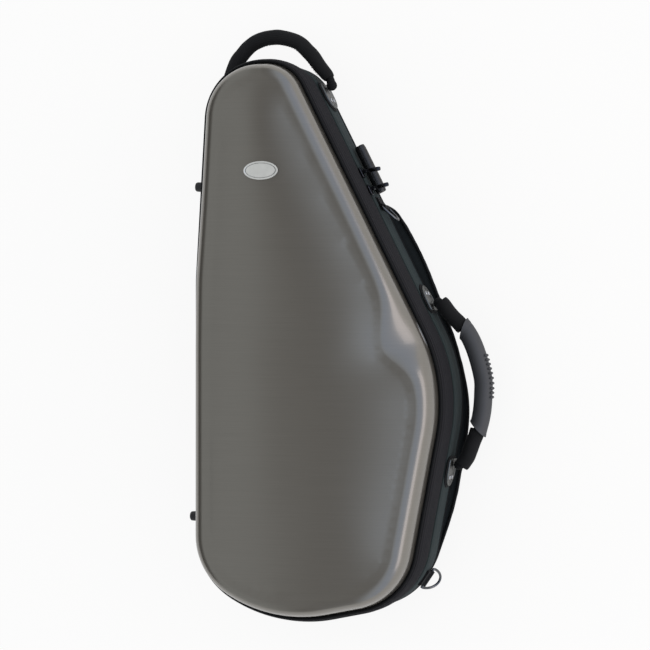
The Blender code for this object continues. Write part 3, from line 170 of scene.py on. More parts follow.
# A handle plate's half length, half height and corner radius; then (inset, height) steps up its edges.
PLATE_HALF, PLATE_TALL, PLATE_CORNER = 0.016, 0.017, 0.005
CUSHION_STEPS = ((-0.0020, 0.0), (-0.0025, 0.0005), (-0.0024, 0.0011), (-0.0014, 0.0015), (0.0010, 0.0014),
                 (0.0060, 0.0014))
PLATE_STEPS = ((0.0003, 0.0), (0.0, 0.0003), (0.0, 0.0011), (0.0002, 0.0016), (0.0007, 0.0019),
               (0.0016, 0.0019), (0.0020, 0.0016), (0.0026, 0.0016), (0.0080, 0.0017))
SCREW_X, SCREW_Y = 0.0055, 0.00575
# What is set on each plate: finish, slot, (length, width, height), facets and places, for a nose towards +X.
FITTINGS = {
    "plate_screws": ("screw", "plate_metal", (0.0060, 0.0060, 0.0024), (18, 8),
                     ((SCREW_X, -SCREW_Y, 0.0018), (SCREW_X, SCREW_Y, 0.0018))),
    # The screws' sockets, the rings round the screw heads, the holes and the slot are dark discs in the
    # recess finish: painted shade.
    "screw_sockets": ("socket", "trim", (0.0023, 0.0023, 0.0012), (6, 4),
                      ((SCREW_X, -SCREW_Y, 0.0026), (SCREW_X, SCREW_Y, 0.0026))),
    "painted_shade_round_screws": ("socket", "trim", (0.0076, 0.0076, 0.0006), (18, 4),
                   ((SCREW_X, -SCREW_Y, 0.0016), (SCREW_X, SCREW_Y, 0.0016))),
    "plate_holes": ("socket", "trim", (0.0030, 0.0030, 0.0006), (12, 4),
                    ((0.0112, 0.0, 0.0016), (-0.0085, -0.0108, 0.0016), (-0.0085, 0.0108, 0.0016))),
    "plate_slots": ("socket", "trim", (0.0110, 0.0034, 0.0006), (20, 4), ((-0.0070, 0.0, 0.0016),)),
}

# (radius, height) up a rubber stud, and (share of its size, height) from the badge's edge to its middle.
STUD_PROFILE = ((0.0062, 0.0), (0.0062, 0.0010), (0.0056, 0.0018), (0.0054, 0.0080), (0.0050, 0.0093),
                (0.0042, 0.0100), (0.0032, 0.0100), (0.0026, 0.0093), (0.0010, 0.0091))
BADGE_PROFILE = ((1.0, 0.0), (1.0, 0.0010), (0.985, 0.0014), (0.955, 0.0015), (0.925, 0.0013),
                 (0.905, 0.0010), (0.86, 0.0010), (0.60, 0.0013), (0.30, 0.0015), (0.02, 0.00155))
# A thin ring in the recess finish inside the badge's rim: painted shade for an engraved line.
BADGE_LINE = ((0.885, 0.0009), (0.885, 0.0012), (0.863, 0.0012), (0.863, 0.0009))

# How bright the studio looks in reflections: (X of the reflected ray, level, tint).
STUDIO_STOPS = ((-0.97, 0.03, "fff4e8"), (-0.88, 0.05, "fff4e8"), (-0.80, 0.56, "fafeff"),
                (-0.48, 0.56, "fafeff"), (-0.28, 0.19, "fff6ec"), (-0.17, 0.20, "fffaf6"),
                (-0.06, 0.40, "f6faff"), (0.08, 0.88, "e8f2ff"), (0.30, 1.0, "d4e4ff"), (0.80, 1.0, "dce8ff"))
FLOOR_HALF = 30.0
CAMERA_TARGET = (0.0085, 0.0162, RIM_Z)


def metres(name, description, default):
    """A length for the sidebar."""
    return bpy.props.FloatProperty(name=name, description=description, default=default, unit="LENGTH")


def hex_colour(name, description, default):
    """A colour for the sidebar, as an sRGB hex value."""
    return bpy.props.StringProperty(name=name, description=description, default=default)


class ShellSettings(bpy.types.PropertyGroup):
    """Sizes and colour of the moulded front shell and its badge."""

    roll: metres("Roll width", "Width of the moulded roll round the shell", 0.017)
    neck_rise: metres("Neck rise", "Height of the dome at the neck end", 0.036)
    bell_rise: metres("Bell rise", "Height of the dome over the bell", 0.048)
    colour: hex_colour("Shell colour", "sRGB hex of the satin film", "827f79")
    badge_length: metres("Badge length", "Length of the bare oval badge", 0.040)
    badge_height: metres("Badge height", "Height of the bare oval badge", 0.021)


class FabricSettings(bpy.types.PropertyGroup):
    """Colours of the fabrics and sizes of their seams."""

    lid_colour: hex_colour("Lid nylon", "sRGB hex of the lid's woven nylon", "1e1e22")
    base_colour: hex_colour("Base nylon", "sRGB hex of the base's woven nylon", "30393b")
    stitch_length: metres("Stitch length", "Length of one stitch", 0.0024)
    stitch_pitch: metres("Stitch pitch", "From one stitch to the next", 0.0034)
    thread: metres("Thread width", "Width of the sewing thread", 0.0006)
    piping: metres("Piping radius", "Radius of the covered cords at the edges", 0.0017)


class ZipSettings(bpy.types.PropertyGroup):
    """Sizes of the zips."""

    pitch: metres("Tooth pitch", "From one tooth to the next", 0.0024)
    width: metres("Tooth width", "Width of a tooth across the wall", 0.0036)


class HandleSettings(bpy.types.PropertyGroup):
    """Sizes of the two handles."""

    grip: metres("Grip radius", "Radius of the rubber grip", 0.0105)
    ridge: metres("Rib height", "Height of the grip's ribs", 0.0020)
    ridges: bpy.props.IntProperty(name="Ribs", description="Number of ribs on the grip", default=10, min=1)
    tube: metres("Top handle radius", "Radius of the padded top handle", 0.0087)
    boot: metres("Boot radius", "Radius of the fabric boots", 0.0088)


class StageSettings(bpy.types.PropertyGroup):
    """The studio's camera."""

    distance: metres("Camera distance", "From the camera to the shell's rim", 2.7)
    tilt: bpy.props.FloatProperty(name="Camera tilt", default=math.radians(16.0), subtype="ANGLE",
                                  description="Lean of the camera towards the handle side")
    width: metres("Frame width", "Width seen at the shell's rim", 0.7313)


def linear(code):
    """An sRGB hex value as a linear colour with alpha."""
    channels = [int(code[i:i + 2], 16) / 255 for i in (0, 2, 4)]
    return (*[c / 12.92 if c <= 0.04045 else ((c + 0.055) / 1.055) ** 2.4 for c in channels], 1.0)


def shade(code, factor):
    """An sRGB hex value as a linear colour, made darker or lighter."""
    return (*[channel * factor for channel in linear(code)[:3]], 1.0)


def add_node(tree, kind, inputs=None, **settings):
    """Adds a node with its settings. Each of its inputs takes a value or a link from a socket."""
    made = tree.nodes.new(kind)
    for name, value in settings.items():
        setattr(made, name, value)
    for name, value in (inputs or {}).items():
        if isinstance(value, bpy.types.NodeSocket):
            tree.links.new(value, made.inputs[name])
        else:
            made.inputs[name].default_value = value
    return made


def math_node(tree, operation, *terms):
    """The result of a math node on sockets and plain numbers."""
    return add_node(tree, "ShaderNodeMath", dict(enumerate(terms)), operation=operation).outputs[0]


def mix_node(tree, factor, low, high):
    """A mix of two colours, each of them a socket or a plain colour."""
    return add_node(tree, "ShaderNodeMix", {0: factor, 6: low, 7: high}, data_type="RGBA").outputs[2]


def noise_node(tree, scale, detail, stretched=None):
    """Noise in the object's own space, stretched along its axes if asked."""
    place = add_node(tree, "ShaderNodeTexCoord").outputs["Object"]
    if stretched:
        place = add_node(tree, "ShaderNodeMapping", {"Scale": stretched, "Vector": place}).outputs[0]
    values = {"Scale": scale, "Detail": detail, "Vector": place}
    return add_node(tree, "ShaderNodeTexNoise", values).outputs["Fac"]


def new_material(name, **values):
    """A material's tree and its Principled shader, with the values of its sockets."""
    material = bpy.data.materials.new(name)
    material.use_nodes = True
    shader = material.node_tree.nodes["Principled BSDF"]
    for socket, value in values.items():
        shader.inputs[socket.replace("_", " ").title().replace("Ior", "IOR")].default_value = value
    return material, material.node_tree, shader


def set_bump(tree, shader, height, distance, strength=1.0):
    """Feeds a height to the shader's normal, through a bump."""
    bump = add_node(tree, "ShaderNodeBump", {"Strength": strength, "Distance": distance, "Height": height})
    tree.links.new(bump.outputs["Normal"], shader.inputs["Normal"])


def set_colour(tree, shader, factor, low, high):
    """Feeds a mix of two colours to the shader."""
    tree.links.new(mix_node(tree, factor, low, high), shader.inputs["Base Color"])


def set_roughness(tree, shader, factor, low, high):
    """Feeds a roughness between two values to the shader."""
    span = add_node(tree, "ShaderNodeMapRange", {"To Min": low, "To Max": high, "Value": factor})
    tree.links.new(span.outputs["Result"], shader.inputs["Roughness"])


def satin_film(code):
    """Brushed metallic film under a clear satin lacquer, on a vacuum-formed shell.

    It gives a dark grey face with a faint brushed grain, and soft bright lines on the roll.
    """
    material, tree, shader = new_material("satin_film_on_moulded_shell", metallic=0.75, roughness=0.28,
                                          ior=1.5, coat_weight=0.5, coat_roughness=0.08)
    # The brush marks are some 0.4 mm wide and 60 mm long, and run across the case. They are drawn 1.5 times
    # as wide.
    marks = noise_node(tree, 1.0, 3.0, (16.0, 1600.0, 16.0))
    cloud = noise_node(tree, 9.0, 2.0)
    uneven = math_node(tree, "MULTIPLY_ADD", cloud, math_node(tree, "MULTIPLY", marks, 0.35), 0.33)
    set_colour(tree, shader, marks, shade(code, 0.91), shade(code, 1.09))
    set_roughness(tree, shader, uneven, 0.24, 0.34)
    set_bump(tree, shader, marks, 0.00002, 0.5)
    return material


def weave_height(tree, pitch, lean=0.0):
    """The height of a plain weave on the piece's own map, for threads of one pitch."""
    place = add_node(tree, "ShaderNodeUVMap", uv_map="UVMap").outputs["UV"]
    turned = add_node(tree, "ShaderNodeMapping", {"Rotation": (0.0, 0.0, lean), "Scale": (1 / pitch,) * 3,
                                                  "Vector": place})
    split = add_node(tree, "ShaderNodeSeparateXYZ", {"Vector": turned.outputs[0]}).outputs
    waves = [math_node(tree, "SINE", math_node(tree, "MULTIPLY", split[axis], math.pi)) for axis in "XY"]
    return math_node(tree, "MULTIPLY_ADD", math_node(tree, "MULTIPLY", *waves), 0.5, 0.5)


def woven(name, code, pitch, depth, roughness=0.72, sheen=0.02, lean=0.0):
    """A woven cloth with a little sheen; its colour has a painted highlight on the threads and painted shade
    in the gaps between them.
    """
    material, tree, shader = new_material(name, roughness=roughness, sheen_weight=sheen, sheen_roughness=0.4,
                                          ior=1.45, specular_ior_level=0.12)
    height = weave_height(tree, pitch, lean)
    # Handling leaves cloudy patches some 40 mm across. The weave's height is added in, so the colour also
    # carries a painted highlight on the threads and painted shade in the gaps.
    handling_and_weave_shade = math_node(tree, "MULTIPLY_ADD", noise_node(tree, 25.0, 4.0), 0.35, height)
    set_colour(tree, shader, handling_and_weave_shade, shade(code, 0.55), shade(code, 1.225))
    set_bump(tree, shader, height, depth)
    return material


def plush():
    """Black brushed-nap lining over foam: deep matt black with a soft nap that lights up at the edges."""
    material, tree, shader = new_material("plush_lining_over_foam", roughness=0.95, sheen_weight=0.7,
                                          sheen_roughness=0.55, ior=1.4, sheen_tint=linear("8a8a92"))
    set_colour(tree, shader, noise_node(tree, 30.0, 3.0), linear("222225"), linear("343439"))
    # The nap's tufts are about 0.7 mm across.
    set_bump(tree, shader, noise_node(tree, 1400.0, 2.0), 0.0004, 0.8)
    return material


def rubber(name, code, roughness, grit):
    """Moulded rubber: even and matt, with the fine grit of its mould."""
    material, tree, shader = new_material(name, roughness=roughness, ior=1.52, specular_ior_level=0.5)
    wear = noise_node(tree, 40.0, 5.0)
    set_colour(tree, shader, wear, shade(code, 0.8), shade(code, 1.2))
    set_roughness(tree, shader, wear, roughness - 0.08, roughness + 0.08)
    set_bump(tree, shader, noise_node(tree, 1 / grit, 2.0), 0.00008)
    return material


def metal(name, code, roughness, grain, stretched=None, bare=1.0):
    """Metal with a fine grain from brushing, tumbling or plating, and roughness that varies a little."""
    material, tree, shader = new_material(name, metallic=bare, roughness=roughness)
    marks = noise_node(tree, 1 / grain, 3.0, stretched)
    set_colour(tree, shader, noise_node(tree, 120.0, 4.0), shade(code, 0.85), shade(code, 1.1))
    set_roughness(tree, shader, marks, roughness - 0.12, roughness + 0.12)
    set_bump(tree, shader, marks, 0.00002, 0.4)
    return material


def rolled_leather():
    """Finished split leather, rolled and glazed: glossy black, with fine pores and creases."""
    material, tree, shader = new_material("glazed_leather", roughness=0.36, ior=1.5, specular_ior_level=0.55)
    crease = noise_node(tree, 180.0, 5.0)
    # Its pebbles are about 0.9 mm across, drawn a little coarser than the real grain.
    place = add_node(tree, "ShaderNodeTexCoord").outputs["Object"]
    pebble = add_node(tree, "ShaderNodeTexVoronoi", {"Scale": 1100.0, "Vector": place}).outputs["Distance"]
    set_colour(tree, shader, crease, linear("0b0b0d"), linear("18181a"))
    set_roughness(tree, shader, crease, 0.20, 0.36)
    set_bump(tree, shader, math_node(tree, "MULTIPLY_ADD", crease, 1.4, pebble), 0.00018)
    return material


def make_materials(scene):
    """Every finish of the case, by name."""
    fabric = scene.case_fabric
    # Ballistic nylon has threads near 0.6 mm; they are drawn 1.1 mm apart so that they show.
    return {
        "shell": satin_film(scene.case_shell.colour),
        "lid_nylon": woven("woven_nylon_black", fabric.lid_colour, 0.0011, 0.00022),
        "base_nylon": woven("woven_nylon_green_grey", fabric.base_colour, 0.0011, 0.00022),
        "pocket_nylon": woven("woven_nylon_pocket", "1f2427", 0.0011, 0.00022),
        "handle_knit": woven("knitted_cover_black", "202123", 0.0009, 0.00016, 0.85, 0.06, math.radians(45)),
        "webbing": woven("ribbed_webbing_black", "191a1c", 0.0016, 0.00030, 0.66, 0.04),
        "welt": woven("bias_cut_welt", "17181a", 0.0010, 0.00014, 0.6, 0.04, math.radians(45)),
        "tape": woven("zip_tape_herringbone", "141517", 0.0008, 0.00014, 0.8, 0.04, math.radians(30)),
        "thread": rubber("bonded_nylon_thread", "2a2b2e", 0.5, 0.0003),
        "plush": plush(),
        "foot_rubber": rubber("moulded_rubber_feet", "26262a", 0.6, 0.0005),
        "grip_rubber": rubber("moulded_rubber_grip", "3d3f43", 0.60, 0.0005),
        "plate": metal("tumbled_zinc_plate", "747675", 0.42, 0.0006),
        "screw": metal("nickel_plated_screw", "b4b5b6", 0.24, 0.0008),
        # Near black, for the discs and rings that stand for recesses: painted shade.
        "socket": rubber("painted_recess_shade", "0c0c0d", 0.8, 0.0005),
        "badge": metal("bright_anodised_oval", "dfe1df", 0.34, 0.0004, (0.05, 1.0, 1.0), 0.35),
        "ring": metal("dark_nickel_plated_wire", "65676a", 0.24, 0.0010),
        "teeth": metal("black_coil", "3c3d42", 0.34, 0.0010),
        "slider": metal("gun_black_slider", "3a3b40", 0.24, 0.0008),
        "leather": rolled_leather(),
    }


class Outline:
    """A closed line of circles joined by tangents, counterclockwise, read by the distance along it."""

    def __init__(self, circles):
        following = circles[1:] + circles[:1]
        turns = []
        for (x, y, radius), (next_x, next_y, next_radius) in zip(circles, following):
            across = Vector((next_x - x, next_y - y))
            lean = math.asin(max(-1.0, min(1.0, (radius - next_radius) / across.length)))
            turns.append(math.atan2(across.y, across.x) - math.pi / 2 + lean)
        # Each arc and each tangent, as the distance at which it starts, its circle's number and its measures.
        self.runs = []
        self.length = 0.0
        for i, ((x, y, radius), (next_x, next_y, next_radius)) in enumerate(zip(circles, following)):
            middle = Vector((x, y))
            self.runs.append((self.length, i, "arc", (middle, turns[i - 1], radius)))
            self.length += (turns[i] - turns[i - 1]) % (2 * math.pi) * radius
            normal = Vector((math.cos(turns[i]), math.sin(turns[i])))
            start, end = middle + normal * radius, Vector((next_x, next_y)) + normal * next_radius
            self.runs.append((self.length, i, "line", (start, end, normal)))
            self.length += (end - start).length

    def at(self, distance):
        """The point, the outward normal, the circle's number and the share of the way to the next one."""
        distance %= self.length
        reached, number, kind, measures = next(run for run in reversed(self.runs) if run[0] <= distance)
        gone = distance - reached
        if kind == "arc":
            middle, turn, radius = measures
            angle = turn + gone / radius
            normal = Vector((math.cos(angle), math.sin(angle)))
            return middle + normal * radius, normal, number, 0.0
        start, end, normal = measures
        share = gone / (end - start).length
        return start.lerp(end, share), normal, number, share

    def stations(self, spacing, first=0.0, last=None):
        """Evenly spaced places along the line, or along a part of it."""
        span = self.length if last is None else last - first
        count = max(2, round(span / spacing))
        return [self.at(first + span * k / count) for k in range(count if last is None else count + 1)]

    def wall(self, y, handle_side=True):
        """The distance at which the walls' outer face passes a height, on the handle side or the spine."""
        def reach(distance):
            point, normal, *_ = self.at(distance)
            return (point + normal * WALL_OUT).y

        steps = 1200
        near = [self.length * k / steps for k in range(steps + 1)]
        near = [distance for distance in near if (self.at(distance)[1].x > 0) == handle_side]
        found = min(near, key=lambda distance: abs(reach(distance) - y))
        low, high = found - self.length / steps, found + self.length / steps
        for _ in range(40):
            middle = (low + high) / 2
            rising = reach(middle + 0.0001) > reach(middle)
            if (reach(middle) < y) == rising:
                low = middle
            else:
                high = middle
        return (low + high) / 2


RIM = Outline(RIM_CIRCLES)
POCKET = Outline(POCKET_CIRCLES)


def circle(count):
    """Evenly spaced points round the unit circle."""
    return [(math.cos(2 * math.pi * k / count), math.sin(2 * math.pi * k / count)) for k in range(count)]


def ease(value):
    """Eases from 0 to 1."""
    value = max(0.0, min(1.0, value))
    return value * value * (3 - 2 * value)


def wall_frame(y, handle_side, stand_off, z):
    """A frame on the walls: X along them, Y up and Z outwards, at a height along the case."""
    point, normal, *_ = RIM.at(RIM.wall(y, handle_side))
    place = point + normal * (WALL_OUT + stand_off)
    columns = (Vector((-normal.y, normal.x, 0)), UP, Vector((normal.x, normal.y, 0)))
    made = Matrix(columns).transposed().to_4x4()
    made.translation = (place.x, place.y, z)
    return made


def smooth_route(knots, per_span):
    """Points along a smooth curve through the given ones."""
    knots = [Vector(knot) for knot in knots]
    padded = [knots[0] * 2 - knots[1], *knots, knots[-1] * 2 - knots[-2]]
    route = []
    for a, b, c, d in zip(padded, padded[1:], padded[2:], padded[3:]):
        for k in range(per_span):
            t = k / per_span
            route.append(((2 * b) + (c - a) * t + (2 * a - 5 * b + 4 * c - d) * t ** 2
                          + (3 * b - a - 3 * c + d) * t ** 3) / 2)
    route.append(knots[-1])
    return route


def stretch(route, first, last, count):
    """Evenly spaced points along part of a route, by shares of its length."""
    lengths = [0.0]
    for a, b in zip(route, route[1:]):
        lengths.append(lengths[-1] + (b - a).length)
    points = []
    for k in range(count + 1):
        goal = lengths[-1] * (first + (last - first) * k / count)
        i = max(1, next((n for n, reached in enumerate(lengths) if reached >= goal), len(lengths) - 1))
        points.append(route[i - 1].lerp(route[i], (goal - lengths[i - 1]) / (lengths[i] - lengths[i - 1])))
    return points


def grid_mesh(name, rows, ring=False, tube=False, caps=False):
    """A surface through rows of points, with a map in metres. A ring's last row meets its first, and a
    tube's rows close; caps fill the ends."""
    count, width = len(rows), len(rows[0])
    along, across = [0.0], [0.0]
    for k in range(count):
        along.append(along[-1] + (Vector(rows[(k + 1) % count][0]) - Vector(rows[k][0])).length)
    for k in range(width):
        across.append(across[-1] + (Vector(rows[0][(k + 1) % width]) - Vector(rows[0][k])).length)
    faces, places = [], []
    for i in range(count if ring else count - 1):
        for j in range(width if tube else width - 1):
            faces.append((i * width + j, i * width + (j + 1) % width,
                          (i + 1) % count * width + (j + 1) % width, (i + 1) % count * width + j))
            places += [(along[i], across[j]), (along[i], across[j + 1]),
                       (along[i + 1], across[j + 1]), (along[i + 1], across[j])]
    for row in (0, count - 1) if caps else ():
        corners = [row * width + j for j in range(width)]
        middle = sum((Vector(p) for p in rows[row]), Vector((0, 0, 0))) / width
        faces.append(corners)
        places += [tuple((Vector(rows[row][j]) - middle).xy) for j in range(width)]
    mesh = bpy.data.meshes.new(name)
    mesh.from_pydata([tuple(p) for row in rows for p in row], [], faces)
    layer = mesh.uv_layers.new(name="UVMap")
    layer.data.foreach_set("uv", np.array(places, np.float32).ravel())
    return mesh


def tube_rows(points, radii, sides, flat=1.0):
    """Rings round a route that lies level; flat is the height's share of the width."""
    rows = []
    for k, (point, radius) in enumerate(zip(points, radii)):
        ahead = points[min(k + 1, len(points) - 1)] - points[max(k - 1, 0)]
        side = ahead.cross(UP).normalized()
        rows.append([point + side * radius * x + UP * radius * flat * y for x, y in circle(sides)])
    return rows


def wall_rows(section, places):
    """A section of (growth, level) points, set up at each place along an outline."""
    return [[(*(point + normal * growth), level) for growth, level in section]
            for point, normal, *_ in places]


def outline_ring(places, growth, level):
    """A ring of points round an outline, grown outwards, at a level."""
    return [(*(point + normal * growth), level) for point, normal, *_ in places]


def bake(obj):
    """Turns an object's modifiers into its plain mesh."""
    bpy.context.view_layer.update()
    evaluated = obj.evaluated_get(bpy.context.evaluated_depsgraph_get())
    mesh = bpy.data.meshes.new_from_object(evaluated)
    mesh.name = obj.name
    obj.modifiers.clear()
    obj.data = mesh
    return obj


def point_outwards(mesh, open_below=False):
    """Merges doubles, then turns every face outwards, which is upwards where a form is open below."""
    bm = bmesh.new()
    bm.from_mesh(mesh)
    bmesh.ops.remove_doubles(bm, verts=bm.verts, dist=0.00001)
    bmesh.ops.recalc_face_normals(bm, faces=bm.faces)
    if open_below and max(bm.faces, key=lambda face: face.calc_center_median().z).normal.z < 0:
        bmesh.ops.reverse_faces(bm, faces=bm.faces)
    bm.to_mesh(mesh)
    bm.free()


def new_piece(name, mesh, finish, sharp=None):
    """An object at the origin with its finish, smooth apart from edges sharper than an angle."""
    obj = bpy.data.objects.new(name, mesh)
    bpy.context.scene.collection.objects.link(obj)
    mesh.materials.clear()
    mesh.materials.append(MATERIALS[finish])
    mesh.shade_smooth()
    if sharp:
        mesh.set_sharp_from_angle(angle=math.radians(sharp))
    return obj


def surface(name, rows, finish, sharp=None, turn=None, **closing):
    """A piece through rows of points, placed by a frame if there is one."""
    mesh = grid_mesh(name, rows, **closing)
    if turn:
        mesh.transform(turn)
    point_outwards(mesh)
    return new_piece(name, mesh, finish, sharp)


def settle(obj, body, nodes=()):
    """Lets a finished piece ride on its body and stand for its CAD nodes."""
    if obj.modifiers:
        bake(obj)
    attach(obj, body)
    if nodes:
        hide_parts(*nodes)
    return obj


def merged_copy(node, name):
    """A copy of a CAD node's mesh, its doubles merged."""
    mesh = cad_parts[node].data.copy()
    mesh.name = name
    point_outwards(mesh)
    return mesh


def even_faces(obj, voxel):
    """Adds the modifier that remakes a form in even faces."""
    remesh = obj.modifiers.new("Even", "REMESH")
    remesh.mode = "VOXEL"
    remesh.voxel_size = voxel


def softened(node, name, finish, voxel, rounds):
    """A CAD node's form in even faces, with its edges rounded off."""
    piece = new_piece(name, merged_copy(node, name), finish)
    even_faces(piece, voxel)
    smooth = piece.modifiers.new("Soft", "SMOOTH")
    smooth.iterations = rounds
    smooth.factor = 0.5
    bake(piece)
    piece.data.shade_smooth()
    return piece


def map_by_faces(mesh):
    """A map in metres from the way that each face looks, for a mesh that has lost its own."""
    layer = mesh.uv_layers.get("UVMap") or mesh.uv_layers.new(name="UVMap")
    places = np.zeros((len(mesh.loops), 2), np.float32)
    for face in mesh.polygons:
        main = max(range(3), key=lambda axis: abs(face.normal[axis]))
        first, second = [axis for axis in range(3) if axis != main]
        for corner in face.loop_indices:
            place = mesh.vertices[mesh.loops[corner].vertex_index].co
            places[corner] = (place[first], place[second])
    layer.data.foreach_set("uv", places.ravel())


def shape_tree(name, path):
    """A node tree that sets rounded shapes along a path or on points, each turned to its own facing."""
    tree = bpy.data.node_groups.new(name, "GeometryNodeTree")
    panel = tree.interface
    panel.new_socket("Geometry", in_out="INPUT", socket_type="NodeSocketGeometry")
    for label, value, kind in (("Spacing", 0.003, "Float"), ("Length", 0.002, "Float"),
                               ("Width", 0.0006, "Float"), ("Height", 0.0005, "Float"), ("Sides", 6, "Int"),
                               ("Rings", 4, "Int")):
        socket = panel.new_socket(label, in_out="INPUT", socket_type="NodeSocket" + kind)
        socket.default_value = value
        if kind == "Float":
            socket.min_value = 0.00001
    panel.new_socket("Material", in_out="INPUT", socket_type="NodeSocketMaterial")
    panel.new_socket("Geometry", in_out="OUTPUT", socket_type="NodeSocketGeometry")
    given = add_node(tree, "NodeGroupInput").outputs
    if path:
        line = add_node(tree, "GeometryNodeMeshToCurve", {"Mesh": given["Geometry"]})
        spots = add_node(tree, "GeometryNodeCurveToPoints",
                         {"Curve": line.outputs[0], "Length": given["Spacing"]}, mode="LENGTH").outputs
        points, tangent = spots["Points"], spots["Tangent"]
    else:
        points = add_node(tree, "GeometryNodeMeshToPoints", {"Mesh": given["Geometry"]}).outputs["Points"]
        tangent = add_node(tree, "GeometryNodeInputNamedAttribute", {"Name": "along"},
                           data_type="FLOAT_VECTOR").outputs["Attribute"]
    facing = add_node(tree, "GeometryNodeInputNamedAttribute", {"Name": "facing"}, data_type="FLOAT_VECTOR")
    turn = add_node(tree, "FunctionNodeAlignRotationToVector", {"Vector": tangent}, axis="X")
    turn = add_node(tree, "FunctionNodeAlignRotationToVector",
                    {"Rotation": turn.outputs[0], "Vector": facing.outputs["Attribute"]},
                    axis="Z", pivot_axis="X")
    size = add_node(tree, "ShaderNodeCombineXYZ",
                    {"X": given["Length"], "Y": given["Width"], "Z": given["Height"]})
    shape = add_node(tree, "GeometryNodeMeshUVSphere",
                     {"Radius": 0.5, "Segments": given["Sides"], "Rings": given["Rings"]})
    # Along a path the sphere's poles point along it; on a single point they face outwards.
    lying = add_node(tree, "GeometryNodeTransform", {"Rotation": (0.0, math.pi / 2 if path else 0.0, 0.0),
                                                     "Geometry": shape.outputs["Mesh"]})
    scaled = add_node(tree, "GeometryNodeTransform", {"Geometry": lying.outputs[0], "Scale": size.outputs[0]})
    placed = add_node(tree, "GeometryNodeInstanceOnPoints",
                      {"Points": points, "Instance": scaled.outputs[0], "Rotation": turn.outputs[0]})
    real = add_node(tree, "GeometryNodeRealizeInstances", {"Geometry": placed.outputs[0]})
    soft = add_node(tree, "GeometryNodeSetShadeSmooth", {"Geometry": real.outputs[0]})
    dressed = add_node(tree, "GeometryNodeSetMaterial",
                       {"Geometry": soft.outputs[0], "Material": given["Material"]})
    add_node(tree, "NodeGroupOutput", {"Geometry": dressed.outputs[0]})
    return tree


def repeat(name, lines, finish, sizes, sides=(6, 4)):
    """Rounded shapes repeated along lines, or set on single points, as one plain mesh.

    A line is a list of (place, facing); a single point is (place, facing, along). sizes are the spacing,
    length, width and height of the shapes.
    """
    path = len(lines[0][0]) == 2
    places, edges, facings, runs = [], [], [], []
    for line in lines:
        first = len(places)
        places += [tuple(spot[0]) for spot in line]
        facings += [tuple(spot[1]) for spot in line]
        if path:
            edges += [(first + k, first + k + 1) for k in range(len(line) - 1)]
        else:
            runs += [tuple(spot[2]) for spot in line]
    mesh = bpy.data.meshes.new(name)
    mesh.from_pydata(places, edges, [])
    for label, vectors in (("facing", facings), ("along", runs)):
        if vectors:
            layer = mesh.attributes.new(label, "FLOAT_VECTOR", "POINT")
            layer.data.foreach_set("vector", np.array(vectors, np.float32).ravel())
    obj = bpy.data.objects.new(name, mesh)
    bpy.context.scene.collection.objects.link(obj)
    label = "shapes_along_a_path" if path else "shapes_on_points"
    tree = bpy.data.node_groups.get(label) or shape_tree(label, path)
    modifier = obj.modifiers.new("Shapes", "NODES")
    modifier.node_group = tree
    values = dict(zip(("Spacing", "Length", "Width", "Height"), sizes))
    values.update(Sides=sides[0], Rings=sides[1], Material=MATERIALS[finish])
    for item in tree.interface.items_tree:
        if item.item_type == "SOCKET" and item.in_out == "INPUT" and item.name in values:
            modifier[item.identifier] = values[item.name]
    bake(obj)
    if not obj.data.vertices:
        raise RuntimeError(name + " came out empty")
    return obj


def stitches(name, lines):
    """Stitches of the sewing thread along lines."""
    fabric = bpy.context.scene.case_fabric
    return repeat(name, lines, "thread", (fabric.stitch_pitch, fabric.stitch_length, fabric.thread,
                                          fabric.thread * 0.8))


def rim_line(growth, z, first=0.0, last=None, spacing=0.004):
    """A line along the walls, facing outwards."""
    line = [((*(point + normal * growth), z), (normal.x, normal.y, 0.0))
            for point, normal, *_ in RIM.stations(spacing, first, last)]
    return line + line[:1] if last is None else line


def swell(obj, voxel, pressure, cap, floor, held):
    """Fills a closed cloth form with air for a moment, so that it puffs out between its seams.

    Its points move by no more than the cap, none goes below the floor and those above a level are held.
    """
    frames = 20
    even_faces(obj, voxel)
    bake(obj)
    count = len(obj.data.vertices)
    start = np.zeros(count * 3, np.float32)
    obj.data.vertices.foreach_get("co", start)
    seam = obj.vertex_groups.new(name="seam")
    seam.add([k for k in range(count) if start[3 * k + 2] > held], 1.0, "REPLACE")
    cloth = obj.modifiers.new("Cloth", "CLOTH")
    cloth.settings.vertex_group_mass = "seam"
    cloth.settings.use_pressure = True
    cloth.settings.uniform_pressure_force = pressure
    cloth.settings.effector_weights.gravity = 0.0
    cloth.settings.tension_stiffness = 20.0
    cloth.settings.compression_stiffness = 20.0
    cloth.settings.quality = 5
    cloth.point_cache.frame_end = frames
    for step in range(1, frames + 1):
        bpy.context.scene.frame_set(step)
    bake(obj)
    bpy.context.scene.frame_set(1)
    moved = np.zeros(count * 3, np.float32)
    obj.data.vertices.foreach_get("co", moved)
    start, moved = start.reshape(-1, 3), moved.reshape(-1, 3)
    shift = moved - start
    reach = np.linalg.norm(shift, axis=1, keepdims=True)
    moved = start + shift * np.minimum(1.0, cap / np.maximum(reach, 1e-9))
    moved[:, 2] = np.maximum(moved[:, 2], floor)
    obj.data.vertices.foreach_set("co", moved.ravel())
    finer = obj.modifiers.new("Finer", "SUBSURF")
    finer.levels = finer.render_levels = 1
    return bake(obj)


def shell_rise(y):
    """How far the dome's ridge stands above the rim, at a height along the case."""
    shell = bpy.context.scene.case_shell
    share = ease((NECK_LEVEL_Y - y) / (NECK_LEVEL_Y - BELL_LEVEL_Y))
    return shell.neck_rise + (shell.bell_rise - shell.neck_rise) * share


def shoulder(point, normal):
    """How much a place on the rim belongs to the shoulder above the bell, from 0 to 1."""
    return ease(normal.x / 0.3) * math.exp(-((point.y - SHOULDER_Y) / SHOULDER_SPREAD) ** 2)


